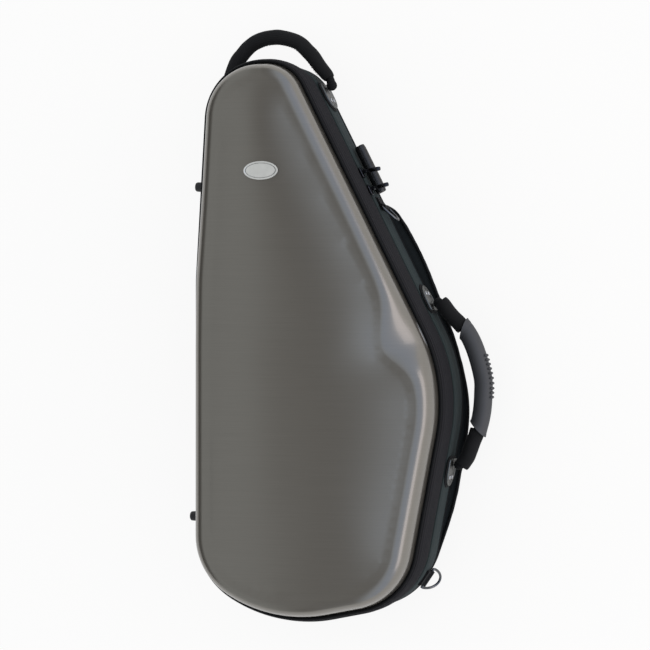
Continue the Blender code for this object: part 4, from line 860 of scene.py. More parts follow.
def roll_width(point, normal):
    """The width of the moulded roll, wider at the shoulder above the bell."""
    return bpy.context.scene.case_shell.roll + SHOULDER_EXTRA * shoulder(point, normal)


def ridge_point(number, share):
    """The point of the dome's ridge that a place on the rim faces."""
    return Vector(RIDGE[number]).lerp(Vector(RIDGE[(number + 1) % len(RIDGE)]), share)


def dome_point(point, normal, number, share, inward):
    """A point of the dome, from the roll's crest (0) to the ridge (1)."""
    start = point - normal * roll_width(point, normal)
    place = start.lerp(ridge_point(number, share), inward)
    crown = ROLL_HEIGHT_SHARE + (1 - ROLL_HEIGHT_SHARE) * (1 - (1 - inward) ** 2)
    return Vector((place.x, place.y, RIM_Z + SEAM_GAP + shell_rise(place.y) * crown))


def roll_ring(around, turn):
    """A ring of the moulded roll, at an angle of its turn from the rim to its crest."""
    ring = []
    for point, normal, *_ in around:
        # The roll turns tightly round the case and more slowly over the shoulder.
        power = ROLL_POWER + SHOULDER_POWER * shoulder(point, normal)
        inward = (1 - math.cos(turn) ** power) / (1 - math.cos(ROLL_TURN) ** power)
        upward = (math.sin(turn) / math.sin(ROLL_TURN)) ** power
        inset = roll_width(point, normal) * inward
        height = shell_rise(point.y) * ROLL_HEIGHT_SHARE
        ring.append((*(point - normal * inset), RIM_Z + SEAM_GAP + height * upward))
    return ring


def ring_quads(count, width):
    """The faces between closed rings of one width."""
    return [(i * width + j, i * width + (j + 1) % width,
             (i + 1) * width + (j + 1) % width, (i + 1) * width + j)
            for i in range(count - 1) for j in range(width)]


def lattice(low, high, line):
    """The corners of a triangular lattice that lie inside a closed line, laid out from a low corner."""
    spots = []
    for row in range(int((high.y - low.y) / (DOME_STEP * ROW_SHARE)) + 1):
        y = low.y + row * DOME_STEP * ROW_SHARE
        crossings = sorted(a.x + (b.x - a.x) * (y - a.y) / (b.y - a.y)
                           for a, b in zip(line, line[1:] + line[:1]) if (a.y <= y) != (b.y <= y))
        for left, right in zip(crossings[::2], crossings[1::2]):
            x = low.x + (row % 2) * DOME_STEP / 2
            while x < right:
                if x > left:
                    spots.append(Vector((x, y)))
                x += DOME_STEP
    return spots


def shell_mesh(name):
    """The moulded front: a small lip, the roll round it and a smooth dome."""
    around = RIM.stations(0.0028)
    width = len(around)
    base = RIM_Z + SEAM_GAP
    rings = [outline_ring(around, out, base + up) for out, up in SHELL_LIP]
    rings += [roll_ring(around, ROLL_TURN * (k / ROLL_STEPS) ** 0.9) for k in range(1, ROLL_STEPS + 1)]
    # The heights of the dome are read from a fine net of its rule and eased over its creases.
    shares = [0.0, 0.02, 0.05, *[0.1 + 0.9 * k / 18 for k in range(19)]]
    net = [[dome_point(*station, inward) for station in around] for inward in shares]
    tree = BVHTree.FromPolygons([tuple(p) for row in net for p in row], ring_quads(len(net), width))
    edge = [Vector(p).xy for p in rings[-1]]
    low = Vector((min(p.x for p in edge), min(p.y for p in edge)))
    high = Vector((max(p.x for p in edge), max(p.y for p in edge)))
    spots = edge + lattice(low, high, [Vector(p).xy for p in net[2]])
    places, _, faces, origins, _, _ = delaunay_2d_cdt(spots, [(k, (k + 1) % width) for k in range(width)],
                                                      [list(range(width))], 1, 1e-6)
    heights = np.zeros(len(places))
    fixed = np.zeros(len(places), bool)
    verts = [p for ring in rings for p in ring]
    joined = {}
    for k, place in enumerate(places):
        mine = [origin for origin in origins[k] if origin < width]
        if mine:
            heights[k], fixed[k], joined[k] = rings[-1][mine[0]][2], True, (len(rings) - 1) * width + mine[0]
        else:
            found = tree.ray_cast(Vector((place.x, place.y, 1.0)), -UP)[0]
            heights[k] = found.z if found else base + shell_rise(place.y)
    pairs = np.array(sorted({tuple(sorted((face[i - 1], face[i])))
                             for face in faces for i in range(len(face))}))
    for _ in range(DOME_EASING):
        total, weight = np.zeros(len(places)), np.zeros(len(places))
        for a, b in ((0, 1), (1, 0)):
            np.add.at(total, pairs[:, a], heights[pairs[:, b]])
            np.add.at(weight, pairs[:, a], 1.0)
        heights = np.where(fixed, heights, 0.5 * heights + 0.5 * total / weight)
    for k, place in enumerate(places):
        if k not in joined:
            joined[k] = len(verts)
            verts.append((place.x, place.y, heights[k]))
    mesh = bpy.data.meshes.new(name)
    mesh.from_pydata(verts, [], ring_quads(len(rings), width) + [[joined[k] for k in face] for face in faces])
    point_outwards(mesh, open_below=True)
    return mesh


def studio_floor():
    """A broad floor of white paper.

    To the camera and in reflections the paper is partly lit from within, so it stays white and keeps a share
    of its shadow.
    """
    mesh = bpy.data.meshes.new("floor")
    corners = [(x * FLOOR_HALF, y * FLOOR_HALF, 0) for x, y in ((-1, -1), (1, -1), (1, 1), (-1, 1))]
    mesh.from_pydata(corners, [], [(0, 1, 2, 3)])
    material, tree, shader = new_material("white_paper_floor", roughness=0.9, specular_ior_level=0.1,
                                          base_color=linear("fafafa"))
    rays = add_node(tree, "ShaderNodeLightPath").outputs
    share = math_node(tree, "MULTIPLY_ADD", rays["Is Glossy Ray"], 0.14,
                      math_node(tree, "MULTIPLY", rays["Is Camera Ray"], 0.88))
    glow = add_node(tree, "ShaderNodeEmission", {"Color": (1.0, 1.0, 1.0, 1.0), "Strength": 1.0})
    paper = add_node(tree, "ShaderNodeMixShader", {0: share, 1: shader.outputs[0], 2: glow.outputs[0]})
    tree.links.new(paper.outputs[0], tree.nodes["Material Output"].inputs["Surface"])
    mesh.materials.append(material)
    floor = bpy.data.objects.new("floor", mesh)
    floor.location.z = -0.0008
    bpy.context.scene.collection.objects.link(floor)


def studio_world():
    """A studio that is white to the camera and through glass, and an even grey light on the case.

    In reflections it is white on the handle side, dim in the middle, half as bright on the spine side and
    dark at its far edge.
    """
    world = bpy.data.worlds.new("white_studio")
    world.use_nodes = True
    tree = world.node_tree
    tree.nodes.clear()
    rays = add_node(tree, "ShaderNodeLightPath").outputs
    way = add_node(tree, "ShaderNodeTexCoord").outputs["Generated"]
    parts = add_node(tree, "ShaderNodeSeparateXYZ", {"Vector": way}).outputs
    # A ray that leans along the case reads the ramp a little nearer the spine side.
    ends = add_node(tree, "ShaderNodeMapRange", {"From Max": 0.10, "To Min": 0.5, "To Max": 0.465,
                                                 "Value": math_node(tree, "ABSOLUTE", parts["Y"])},
                    interpolation_type="SMOOTHSTEP").outputs["Result"]
    across = math_node(tree, "MULTIPLY_ADD", parts["X"], 0.5, ends)
    ramp = add_node(tree, "ShaderNodeValToRGB", {"Fac": across})
    stops = ramp.color_ramp.elements
    while len(stops) < len(STUDIO_STOPS):
        stops.new(0.5)
    for stop, (place, level, tint) in zip(stops, STUDIO_STOPS):
        stop.position = 0.5 + place / 2
        stop.color = shade(tint, level)
    lit = mix_node(tree, rays["Is Glossy Ray"], (0.80, 0.80, 0.80, 1.0), ramp.outputs["Color"])
    clear = math_node(tree, "MAXIMUM", rays["Is Camera Ray"], rays["Is Transmission Ray"])
    shown = mix_node(tree, clear, lit, (1.0, 1.0, 1.0, 1.0))
    sky = add_node(tree, "ShaderNodeBackground", {"Strength": 1.0, "Color": shown})
    add_node(tree, "ShaderNodeOutputWorld", {"Surface": sky.outputs[0]})
    bpy.context.scene.world = world


class CASE_OT_stage(bpy.types.Operator):
    """Makes the plain pale floor, the soft studio light and the camera."""

    bl_idname = "case.stage"
    bl_label = "Studio"

    def execute(self, context):
        scene = context.scene
        settings = scene.case_stage
        scene.view_settings.view_transform = "Standard"
        studio_floor()
        studio_world()
        # A broad soft lamp low on the handle side, which draws the pale line along the moulded roll.
        lamp = bpy.data.lights.new("handle_side_softbox", "AREA")
        lamp.shape = "RECTANGLE"
        lamp.size, lamp.size_y = 3.2, 1.0
        lamp.energy = 14.0
        lamp.color = linear("fff0e8")[:3]
        obj = bpy.data.objects.new("handle_side_softbox", lamp)
        scene.collection.objects.link(obj)
        obj.location = (2.1, 0.0, 0.62)
        obj.rotation_mode = "QUATERNION"
        obj.rotation_quaternion = (Vector((0.0, 0.0, 0.1)) - obj.location).to_track_quat("-Z", "Y")
        camera = bpy.data.cameras.new("camera")
        camera.sensor_width = 36.0
        camera.lens = camera.sensor_width * settings.distance / settings.width
        camera.clip_start, camera.clip_end = 0.05, 60.0
        eye = Vector((math.sin(settings.tilt), 0.0, math.cos(settings.tilt))) * settings.distance
        eye.z += RIM_Z
        back = (eye - Vector(CAMERA_TARGET)).normalized()
        across = Vector((0.0, 1.0, 0.0)).cross(back).normalized()
        turn = Matrix((across, back.cross(across), back)).transposed().to_4x4()
        turn.translation = eye
        obj = bpy.data.objects.new("camera", camera)
        scene.collection.objects.link(obj)
        obj.matrix_world = turn
        scene.camera = obj
        return {"FINISHED"}


class CASE_OT_front_shell(bpy.types.Operator):
    """Makes the moulded front shell, with its lip, roll and dome, and its wall."""

    bl_idname = "case.front_shell"
    bl_label = "Front Shell"

    def execute(self, context):
        shell = new_piece("moulded_shell", shell_mesh("moulded_shell"), "shell")
        wall = shell.modifiers.new("Wall", "SOLIDIFY")
        wall.thickness = SHELL_WALL
        wall.offset = -1.0
        settle(shell, "lid", ["front_shell"])
        return {"FINISHED"}


def main_axes(mesh):
    """A form's middle and its axes from the longest to the flattest."""
    places = np.array([v.co for v in mesh.vertices])
    middle = places.mean(0)
    _, _, axes = np.linalg.svd(places - middle)
    return Vector(middle), [Vector(axis) for axis in axes]


def ovals(settings, steps):
    """Rings of the badge, as (share of its length, share of its height, level) steps."""
    return [[(settings.badge_length / 2 * wide * x, settings.badge_height / 2 * tall * y, level)
             for x, y in circle(72)] for wide, tall, level in steps]


class CASE_OT_badge(bpy.types.Operator):
    """Makes the bare oval badge, slightly domed, with a raised rim and, inside it, a dark ring painted as the
    shade of an engraved line.
    """

    bl_idname = "case.badge"
    bl_label = "Badge"

    def execute(self, context):
        shell = context.scene.case_shell
        guide = merged_copy("badge", "badge_guide")
        middle, (across, _, normal) = main_axes(guide)
        bpy.data.meshes.remove(guide)
        across *= 1 if across.x > 0 else -1
        normal *= 1 if normal.z > 0 else -1
        turn = Matrix((across, normal.cross(across), normal)).transposed().to_4x4()
        turn.translation = middle - normal * 0.0008
        rings = ovals(shell, [(share, 1 - (1 - share) * (1.9 if share > 0.8 else 1.0), level)
                              for share, level in BADGE_PROFILE])
        settle(surface("oval_badge", rings, "badge", 40, turn, tube=True, caps=True), "lid", ["badge"])
        # The dark ring in the recess finish is painted shade for an engraved line.
        rings = ovals(shell, [(share, share - 0.09, level) for share, level in BADGE_LINE])
        settle(surface("badge_groove_shade", list(zip(*rings)), "socket", 40, turn, ring=True, tube=True), "lid")
        return {"FINISHED"}


def wall_section(low, high, ribs):
    """The section of a sewn wall as (growth, level) points: padded, or quilted in lengthwise ribs, between
    two sewn edges, and turned in behind."""
    edge = [(WALL_OUT + out * 0.001, low + level * 0.001) for level, out in SEWN_EDGE]
    inset = SEWN_EDGE[-1][0] * 0.001
    steps = ribs * 4 if ribs else 4
    middle = []
    for k in range(1, steps):
        share = k / steps
        out = PADDING * math.sin(math.pi * share) + QUILT * abs(math.sin(math.pi * ribs * share))
        middle.append((WALL_OUT + out, low + inset + (high - low - 2 * inset) * share))
    mirrored = [(growth, low + high - level) for growth, level in reversed(edge)]
    return edge + middle + mirrored + [(WALL_IN + 0.0008, high), (WALL_IN, high - 0.0010),
                                       (WALL_IN, low + 0.0010), (WALL_IN + 0.0008, low)]


class CASE_OT_walls(bpy.types.Operator):
    """Makes the sewn fabric walls of the lid and the base, with their lines of stitches."""

    bl_idname = "case.walls"
    bl_label = "Fabric Walls"

    def execute(self, context):
        for body, low, high, ribs in (("lid", LID_LOW, RIM_Z, 6), ("base", BASE_LOW, BASE_HIGH, 0)):
            section = wall_section(low, high, ribs)
            padded = range(len(SEWN_EDGE), len(section) - len(SEWN_EDGE) - 4)
            rows = []
            for point, normal, *_ in RIM.stations(WALL_STEP):
                row = []
                for j, (growth, level) in enumerate(section):
                    # The padding behind the cloth is a little uneven along the wall.
                    uneven = noise.noise(Vector((point.x * 14, point.y * 14, level * 60))) * 0.0004
                    growth += uneven if j in padded else uneven * 0.3
                    row.append((*(point + normal * growth), level))
                rows.append(row)
            wall = surface(body + "_wall", rows, body + "_nylon", ring=True, tube=True)
            settle(wall, body, [body + "_gusset"])
            lines = [rim_line(WALL_OUT - STITCH_SUNK, level)
                     for level in (low + STITCH_IN, high - STITCH_IN)]
            settle(stitches(body + "_wall_stitches", lines), body)
        return {"FINISHED"}


class CASE_OT_pipings(bpy.types.Operator):
    """Makes the covered cords along the front and back edges of the walls."""

    bl_idname = "case.pipings"
    bl_label = "Pipings"

    def execute(self, context):
        radius = context.scene.case_fabric.piping
        for name, body, growth, level in (("front_welt", "lid", 0.0034, RIM_Z + 0.0019),
                                          ("back_welt", "base", 0.0050, BACK_SEAM_Z)):
            section = [(growth + radius * x, level + radius * y) for x, y in circle(12)]
            welt = surface(name, wall_rows(section, RIM.stations(0.0035)), "welt", ring=True, tube=True)
            settle(welt, body, [body + "_piping"])
        return {"FINISHED"}


def zip_span():
    """The distances along the rim between which the main zip runs, from one end of the hinge to the other."""
    foot = RIM.wall(HINGE_FOOT_Y - 0.002, False)
    neck = RIM.wall(HINGE_NECK_Y + 0.002, False)
    return foot, neck if neck > foot else neck + RIM.length


class CASE_OT_main_zip(bpy.types.Operator):
    """Makes the tapes and the teeth of the main zip, half on the base and half on the lid."""

    bl_idname = "case.main_zip"
    bl_label = "Main Zip"

    def execute(self, context):
        settings = context.scene.case_zip
        first, last = zip_span()
        for side, edge, up in (("base", BASE_HIGH, 1), ("lid", LID_LOW, -1)):
            section = [(growth, edge + up * rise) for growth, rise in TAPE_SECTION]
            rows = wall_rows(section, RIM.stations(WALL_STEP, first, last))
            tape = surface(side + "_tape", rows, "tape", tube=True, caps=True)
            settle(tape, side, [side + "_zip_tape"])
            line = rim_line(TEETH_OUT, edge + up * TEETH_RISE, first, last)
            teeth = repeat(side + "_teeth", [line], "teeth",
                           (settings.pitch, settings.pitch * 0.72, settings.width, 0.0020), (8, 6))
            settle(teeth, side, [side + "_zip_chain"])
        return {"FINISHED"}


class CASE_OT_spine_hinge(bpy.types.Operator):
    """Makes the woven strip on the spine where the lid hinges, and its stitches. The strip stays in the pose
    it is made in.
    """

    bl_idname = "case.spine_hinge"
    bl_label = "Spine Hinge"

    def execute(self, context):
        low, high = ZIP_Z - HINGE_HALF_WIDTH, ZIP_Z + HINGE_HALF_WIDTH
        run = HINGE_NECK_Y - HINGE_FOOT_Y
        levels = [low + (high - low) * j / 30 for j in range(31)]
        rows = [[(HINGE_X + 0.0001, HINGE_FOOT_Y + run * k / 61, z) for z in levels]
                + [(HINGE_X + 0.0012, HINGE_FOOT_Y + run * k / 61, z) for z in reversed(levels)]
                for k in range(62)]
        strip = surface("spine_strip", rows, "webbing", 50, tube=True, caps=True)
        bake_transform(strip)
        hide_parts("hinge_strip_base", "hinge_strip_lid")
        margin = 0.003
        for body, edge, up in (("base", low, 1), ("lid", high, -1)):
            for place, inset in (("outer", margin), ("inner", 2 * margin)):
                line = [((HINGE_X, HINGE_FOOT_Y + margin + (run - 2 * margin) * k / 40, edge + up * inset),
                         (-1.0, 0.0, 0.0)) for k in range(41)]
                settle(stitches("spine_stitches_" + body + "_" + place, [line]), body)
        return {"FINISHED"}


class CASE_OT_spine_feet(bpy.types.Operator):
    """Makes the rubber studs on the spine, with a dished end and a foot ring."""

    bl_idname = "case.spine_feet"
    bl_label = "Spine Feet"

    def execute(self, context):
        rings = [[(radius * x, radius * y, height) for x, y in circle(28)] for radius, height in STUD_PROFILE]
        for side, level in (("lid", RIM_Z - 0.014), ("base", BASE_LOW + 0.014)):
            for place, y in FOOT_YS.items():
                stud = surface("spine_stud_" + side + "_" + place, rings, "foot_rubber", 50,
                               wall_frame(y, False, SEAM_GAP, level), tube=True, caps=True)
                settle(stud, side, ["spine_foot_" + side + "_" + place])
        return {"FINISHED"}


class CASE_OT_lid_lining(bpy.types.Operator):
    """Makes the padded plush lining under the front shell and down the lid's wall."""

    bl_idname = "case.lid_lining"
    bl_label = "Lid Lining"

    def execute(self, context):
        lining = softened("lid_lining", "lid_plush", "plush", 0.0032, 6)
        settle(lining, "lid", ["lid_lining"])
        return {"FINISHED"}


class CASE_OT_cradle(bpy.types.Operator):
    """Makes the plush-covered cradle, its floor and the strap over the body well."""

    bl_idname = "case.cradle"
    bl_label = "Cradle"

    def execute(self, context):
        for node, name, finish, voxel, rounds, slot in (
                ("base_insert", "cradle", "plush", 0.0030, 8, "lining"),
                ("insert_floor", "cradle_floor", "plush", 0.0030, 4, "lining"),
                ("body_strap", "body_band", "webbing", 0.0009, 3, "trim")):
            piece = softened(node, name, finish, voxel, rounds)
            map_by_faces(piece.data)
            settle(piece, "base", [node])
        return {"FINISHED"}


class CASE_OT_back(bpy.types.Operator):
    """Makes the cloth-covered board of the back, with its rounded edge."""

    bl_idname = "case.back"
    bl_label = "Back Board"

    def execute(self, context):
        around = RIM.stations(WALL_STEP)
        rings = [outline_ring(around, growth, z) for growth, z in (
            (-0.020, PANEL_LOW), (-0.004, PANEL_LOW), (0.0018, PANEL_LOW + 0.0002),
            (0.0029, PANEL_LOW + 0.0010), (0.0031, BACK_SEAM_Z), (0.0029, PANEL_HIGH - 0.0010),
            (0.0018, PANEL_HIGH - 0.0002), (-0.004, PANEL_HIGH), (-0.020, PANEL_HIGH))]
        below, above = [[(*point.lerp(ridge_point(number, share), 0.8), z)
                         for point, _, number, share in around] for z in (PANEL_LOW, PANEL_HIGH)]
        piece = surface("back_board", [below, *rings, above], "lid_nylon", tube=True, caps=True)
        map_by_faces(piece.data)
        settle(piece, "base", ["back_panel"])
        return {"FINISHED"}


def pocket_line(spacing):
    """Places round the pocket, as (point, outward normal)."""
    line = []
    for point, normal, *_ in POCKET.stations(spacing):
        full = sum(growth * math.exp(-((point.y - middle) / spread) ** 2)
                   for growth, middle, spread in POCKET_SWELLS)
        line.append((point + normal * full * max(0.0, normal.x), normal))
    return line


class CASE_OT_pocket(bpy.types.Operator):
    """Makes the padded pocket on the back, puffed out by a cloth simulation, with its welt and its zip."""

    bl_idname = "case.pocket"
    bl_label = "Back Pocket"

    def execute(self, context):
        around = pocket_line(0.0060)
        rings = [outline_ring(around, -inset, z) for inset, z in POCKET_STEPS]
        inset, level = POCKET_STEPS[-1]
        for share in (0.35, 0.7):
            rings.append([(*(point - normal * inset).lerp(Vector(POCKET_MIDDLE), share), level)
                          for point, normal in around])
        pocket = surface("pocket", rings, "pocket_nylon", tube=True, caps=True)
        swell(pocket, 0.0055, 4.0, 0.003, floor=0.0004, held=0.0235)
        map_by_faces(pocket.data)
        pocket.data.shade_smooth()
        settle(pocket, "base", ["pocket_shell"])
        radius = context.scene.case_fabric.piping
        section = [(radius * x - POCKET_WELT[0], POCKET_WELT[1] + radius * y) for x, y in circle(10)]
        settle(surface("pocket_cord", wall_rows(section, pocket_line(0.0040)), "welt", ring=True, tube=True),
               "base", ["pocket_welt"])
        low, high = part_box("pocket_zip")
        run = high.x - low.x
        level = (low.z + high.z) / 2
        for name, near, far in (("pocket_tape_low", low.z - 0.002, level - 0.0012),
                                ("pocket_tape_high", level + 0.0012, high.z + 0.002)):
            rows = [[(low.x + run * k / 60, low.y + out, z) for out, z in (
                (0.0, near), (0.0006, near), (0.0008, (near + far) / 2), (0.0006, far), (0.0, far))]
                for k in range(61)]
            settle(surface(name, rows, "tape", tube=True, caps=True), "base")
        line = [((low.x + run * k / 40, low.y + 0.0007, level), (0.0, 1.0, 0.0)) for k in range(41)]
        pitch = context.scene.case_zip.pitch
        teeth = repeat("pocket_teeth", [line], "teeth", (pitch * 0.8, pitch * 0.6, 0.0034, 0.0014), (8, 6))
        settle(teeth, "base", ["pocket_zip"])
        return {"FINISHED"}


def plaque(name, steps, nose, turn, finish, sharp=None):
    """A plate's form from (inset, height) steps up its edges, its nose towards +X or -X, in a frame."""
    left, tall = PLATE_CORNER - PLATE_HALF, PLATE_TALL - PLATE_CORNER
    around = Outline(((left, -tall, PLATE_CORNER), (PLATE_HALF - PLATE_TALL, 0.0, PLATE_TALL),
                      (left, tall, PLATE_CORNER))).stations(0.0014)
    rings = []
    for inset, height in steps:
        ring = [point - normal * inset for point, normal, *_ in around]
        rings.append([(point.x * nose, point.y, height) for point in ring])
    return surface(name, rings, finish, sharp, turn, tube=True, caps=True)


class CASE_OT_plates(bpy.types.Operator):
    """Makes the four handle plates with their screws, dark discs painted as the shade in their holes, slot
    and screw sockets and round their screw heads, and the soft pads under them.
    """

    bl_idname = "case.plates"
    bl_label = "Handle Plates"

    def execute(self, context):
        turns = []
        for place, (y, handle_side, nose) in PLATE_YS.items():
            cushion = plaque(place + "_cushion", CUSHION_STEPS, nose,
                             wall_frame(y, handle_side, SEAM_GAP, HANDLE_Z), "webbing")
            map_by_faces(cushion.data)
            settle(cushion, "base", [place + "_pad"])
            turn = wall_frame(y, handle_side, 0.0020, HANDLE_Z)
            plate = plaque(place + "_metal", PLATE_STEPS, nose, turn, "plate", 35)
            settle(plate, "base", [place + "_plate"])
            turns.append((turn, nose))
        for name, (finish, slot, size, facets, places) in FITTINGS.items():
            spots = [(turn @ Vector((nose * x, y, z)), turn.to_3x3() @ UP, turn.to_3x3() @ Vector((1, 0, 0)))
                     for turn, nose in turns for x, y, z in places]
            settle(repeat(name, [spots], finish, (0.0, *size), facets), "base")
        return {"FINISHED"}


def with_knuckles(points, sizes, end_radius, steps=5):
    """A rod's points and radii, with a rounded knuckle added past both its ends."""
    for _ in range(2):
        points, sizes = points[::-1], sizes[::-1]
        near = points[-1]
        out = (near - points[-2]).normalized()
        for k in range(1, steps + 1):
            angle = math.pi / 2 * k / steps
            points.append(near + out * end_radius * math.sin(angle))
            sizes.append(end_radius * max(0.03, math.cos(angle)))
    return points, sizes


def strap_along(knots, name, body):
    """Lays a handle's strap along its knots, thicker at both ends, and gives back its route."""
    route = smooth_route([(x, y, HANDLE_Z) for x, y in knots], 6)
    points = stretch(route, 0.0, 1.0, 90)
    sizes = []
    for point in points:
        near = min((point - points[0]).length, (point - points[-1]).length)
        sizes.append(max(STRAP_RADIUS, math.sqrt(max(0.0, KNUCKLE_RADIUS ** 2 - near ** 2))))
    rows = tube_rows(*with_knuckles(points, sizes, KNUCKLE_RADIUS), 16)
    settle(surface(name, rows, "webbing", tube=True, caps=True), body, [body + "_strap"])
    return route


def round_end_radii(count, radius, end_radius, steps):
    """Radii along a sleeve whose ends are rounded off."""
    sizes = [radius] * (count + 1)
    for k in range(steps):
        share = (k + 1) / (steps + 1)
        sizes[k] = end_radius + (radius - end_radius) * math.sin(math.pi / 2 * share)
        sizes[-1 - k] = sizes[k]
    return sizes


def sleeve(name, route, span, radii, sides, finish, wrinkle, flat=1.0, slant=0.0, lift=None):
    """A soft sleeve along part of a handle's route, with small wrinkles and its ends turned in.

    The slant makes its outer side longer than its inner side at both ends, and the lift moves each ring
    outwards.
    """
    count = len(radii) - 1
    points = stretch(route, *span, count)
    if lift:
        ways = [(points[max(k - 1, 0)] - points[min(k + 1, count)]).cross(UP).normalized()
                for k in range(count + 1)]
        points = [point + way * rise for point, way, rise in zip(points, ways, lift)]
    rows = tube_rows(points, radii, sides, flat)
    for k, row in enumerate(rows):
        ahead = (points[min(k + 1, count)] - points[max(k - 1, 0)]).normalized()
        push = max(0.0, 1 - k / count * 4) ** 1.5 - max(0.0, 1 - (count - k) / count * 4) ** 1.5
        for j, (x, _) in enumerate(circle(sides)):
            place = row[j] + ahead * slant * push * x
            fold = noise.noise(Vector((place.x * 90, place.y * 90, place.z * 60))) * wrinkle
            row[j] = place + (place - points[k]).normalized() * fold
    for end, step in ((0, 1), (-1, -2)):
        inward = (points[step] - points[end]).normalized()
        tuck, lip = [[points[end] + (place - points[end]) * share + inward * depth for place in rows[end]]
                     for share, depth in ((0.80, 0.0030), (0.82, 0.0004))]
        rows = [tuck, lip] + rows if end == 0 else rows + [lip, tuck]
    return surface(name, rows, finish, tube=True, caps=True)


class CASE_OT_side_handle(bpy.types.Operator):
    """Makes the side handle: a strap, a ribbed rubber grip and a sewn boot at each end."""

    bl_idname = "case.side_handle"
    bl_label = "Side Handle"

    def execute(self, context):
        handle = context.scene.case_handles
        route = strap_along(SIDE_KNOTS, "side_strap", "side_handle")
        count = 48
        for place, span in BOOT_SPANS.items():
            radii = round_end_radii(count, handle.boot, 0.0080, 4)
            lift = [BOOT_LIFT * (1 - ease(k / 30)) for k in range(count + 1)]
            lift = lift if place == "upper" else lift[::-1]
            boot = sleeve("boot_" + place, route, span, radii, 26, "handle_knit", 0.0006, lift=lift)
            settle(boot, "side_handle", ["side_handle_boot_" + place])
        # The grip flares a little over its last twentieth at both ends.
        count, flare = 220, 0.0007
        shares = [min(1.0, min(k, count - k) / (count * 0.05)) for k in range(count + 1)]
        radii = [handle.grip + flare * (1 - math.sin(math.pi / 2 * share)) for share in shares]
        grip = sleeve("rubber_grip", route, GRIP_SPAN, radii, 40, "grip_rubber", 0.0, flat=1.12, slant=0.0065)
        settle(grip, "side_handle", ["side_handle_grip"])
        # Small ribs across the grip's outer side, where the fingers don't reach.
        spots = []
        middle = stretch(route, *RIB_SPAN, handle.ridges * 2)
        for k in range(1, handle.ridges * 2, 2):
            ahead = (middle[k + 1] - middle[k - 1]).normalized()
            out = UP.cross(ahead)
            spots.append((middle[k] + out * (handle.grip - 0.0006), out, ahead))
        ribs = repeat("grip_ribs", [spots], "grip_rubber", (0.0, 0.0036, 0.0150, handle.ridge * 2 + 0.0008),
                      (20, 12))
        settle(ribs, "side_handle")
        return {"FINISHED"}


class CASE_OT_top_handle(bpy.types.Operator):
    """Makes the padded carrying handle round the neck end, sewn along its inner side."""

    bl_idname = "case.top_handle"
    bl_label = "Top Handle"

    def execute(self, context):
        handle = context.scene.case_handles
        route = strap_along(TOP_KNOTS, "top_strap", "top_handle")
        count = 120
        # Towards its plates the padding is pressed thinner, so that the handle swings clear of them.
        radii = [radius - 0.0011 * (1 - ease(min(k, count - k) / 22))
                 for k, radius in enumerate(round_end_radii(count, handle.tube, 0.0070, 5))]
        tube = sleeve("padded_tube", route, TUBE_SPAN, radii, 30, "handle_knit", 0.0005)
        settle(tube, "top_handle", ["top_handle_tube"])
        inner = stretch(route, 0.12, 0.88, 80)
        line = []
        for k, point in enumerate(inner):
            ahead = inner[min(k + 1, 80)] - inner[max(k - 1, 0)]
            side = ahead.cross(UP).normalized()
            line.append((point + side * handle.tube, side))
        settle(stitches("top_handle_stitches", [line]), "top_handle")
        return {"FINISHED"}


class CASE_OT_sliders(bpy.types.Operator):
    """Gives the sliders and the pocket's pull their finish, and makes the main zip's moulded pulls."""

    bl_idname = "case.sliders"
    bl_label = "Zip Sliders"

    def execute(self, context):
        for name in ("zip_slider_upper", "zip_slider_lower", "pocket_slider", "pocket_pull"):
            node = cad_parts[name]
            node.data.materials.clear()
            node.data.materials.append(MATERIALS["slider"])
        for place in ("upper", "lower"):
            # The moulded pull is full and round past its eye, which stays as slim as the bridge needs.
            mesh = merged_copy("zip_pull_" + place, "moulded_pull_" + place)
            middle, (along, _, flat) = main_axes(mesh)
            along *= 1 if along.x > 0 else -1
            first = min((v.co - middle).dot(along) for v in mesh.vertices)
            for v in mesh.vertices:
                past = ease(((v.co - middle).dot(along) - first - 0.0060) / 0.0030)
                v.co += flat * (v.co - middle).dot(flat) * 0.9 * past
            pull = new_piece("moulded_pull_" + place, mesh, "slider", 50)
            edge = pull.modifiers.new("Edge", "BEVEL")
            edge.width, edge.segments = 0.0006, 3
            settle(pull, "pull_" + place, ["zip_pull_" + place])
        return {"FINISHED"}


class CASE_OT_strap_roll(bpy.types.Operator):
    """Makes the rolled leather piece beside the sliders."""

    bl_idname = "case.strap_roll"
    bl_label = "Leather Roll"

    def execute(self, context):
        radius, core, skin, layers = 0.0072, 0.0016, 0.0015, 2.2
        top, foot = (wall_frame(y, True, SEAM_GAP + radius, HANDLE_Z) for y in ROLL_PIECE_YS)
        turns = [2 * math.pi * layers * k / 88 for k in range(89)]
        outer = [(core + skin + (radius - core - skin) * turn / turns[-1], turn) for turn in turns]
        section = [(r * math.cos(t), r * math.sin(t)) for r, t in outer]
        section += [((r - skin) * math.cos(t), (r - skin) * math.sin(t)) for r, t in reversed(outer)]
        run = foot.translation - top.translation
        out = top.to_3x3() @ UP
        rows = []
        for k in range(41):
            share = k / 40
            size = 0.90 + 0.10 * ease(min(share, 1 - share) * run.length / 0.004)
            middle = top.translation + run * share
            rows.append([middle + (out * x + UP * z) * size for x, z in section])
        roll = surface("leather_roll", rows, "leather", 50, tube=True, caps=True)
        settle(roll, "base", ["strap_roll"])
        return {"FINISHED"}


def strip_section(path, thickness):
    """The closed outline of a thick strip that follows a path of (x, y) points."""
    left, right = [], []
    for k, place in enumerate(path):
        ahead = Vector(path[min(k + 1, len(path) - 1)]) - Vector(path[max(k - 1, 0)])
        side = Vector((-ahead.y, ahead.x)).normalized() * thickness / 2
        left.append(Vector(place) + side)
        right.append(Vector(place) - side)
    return left + right[::-1]


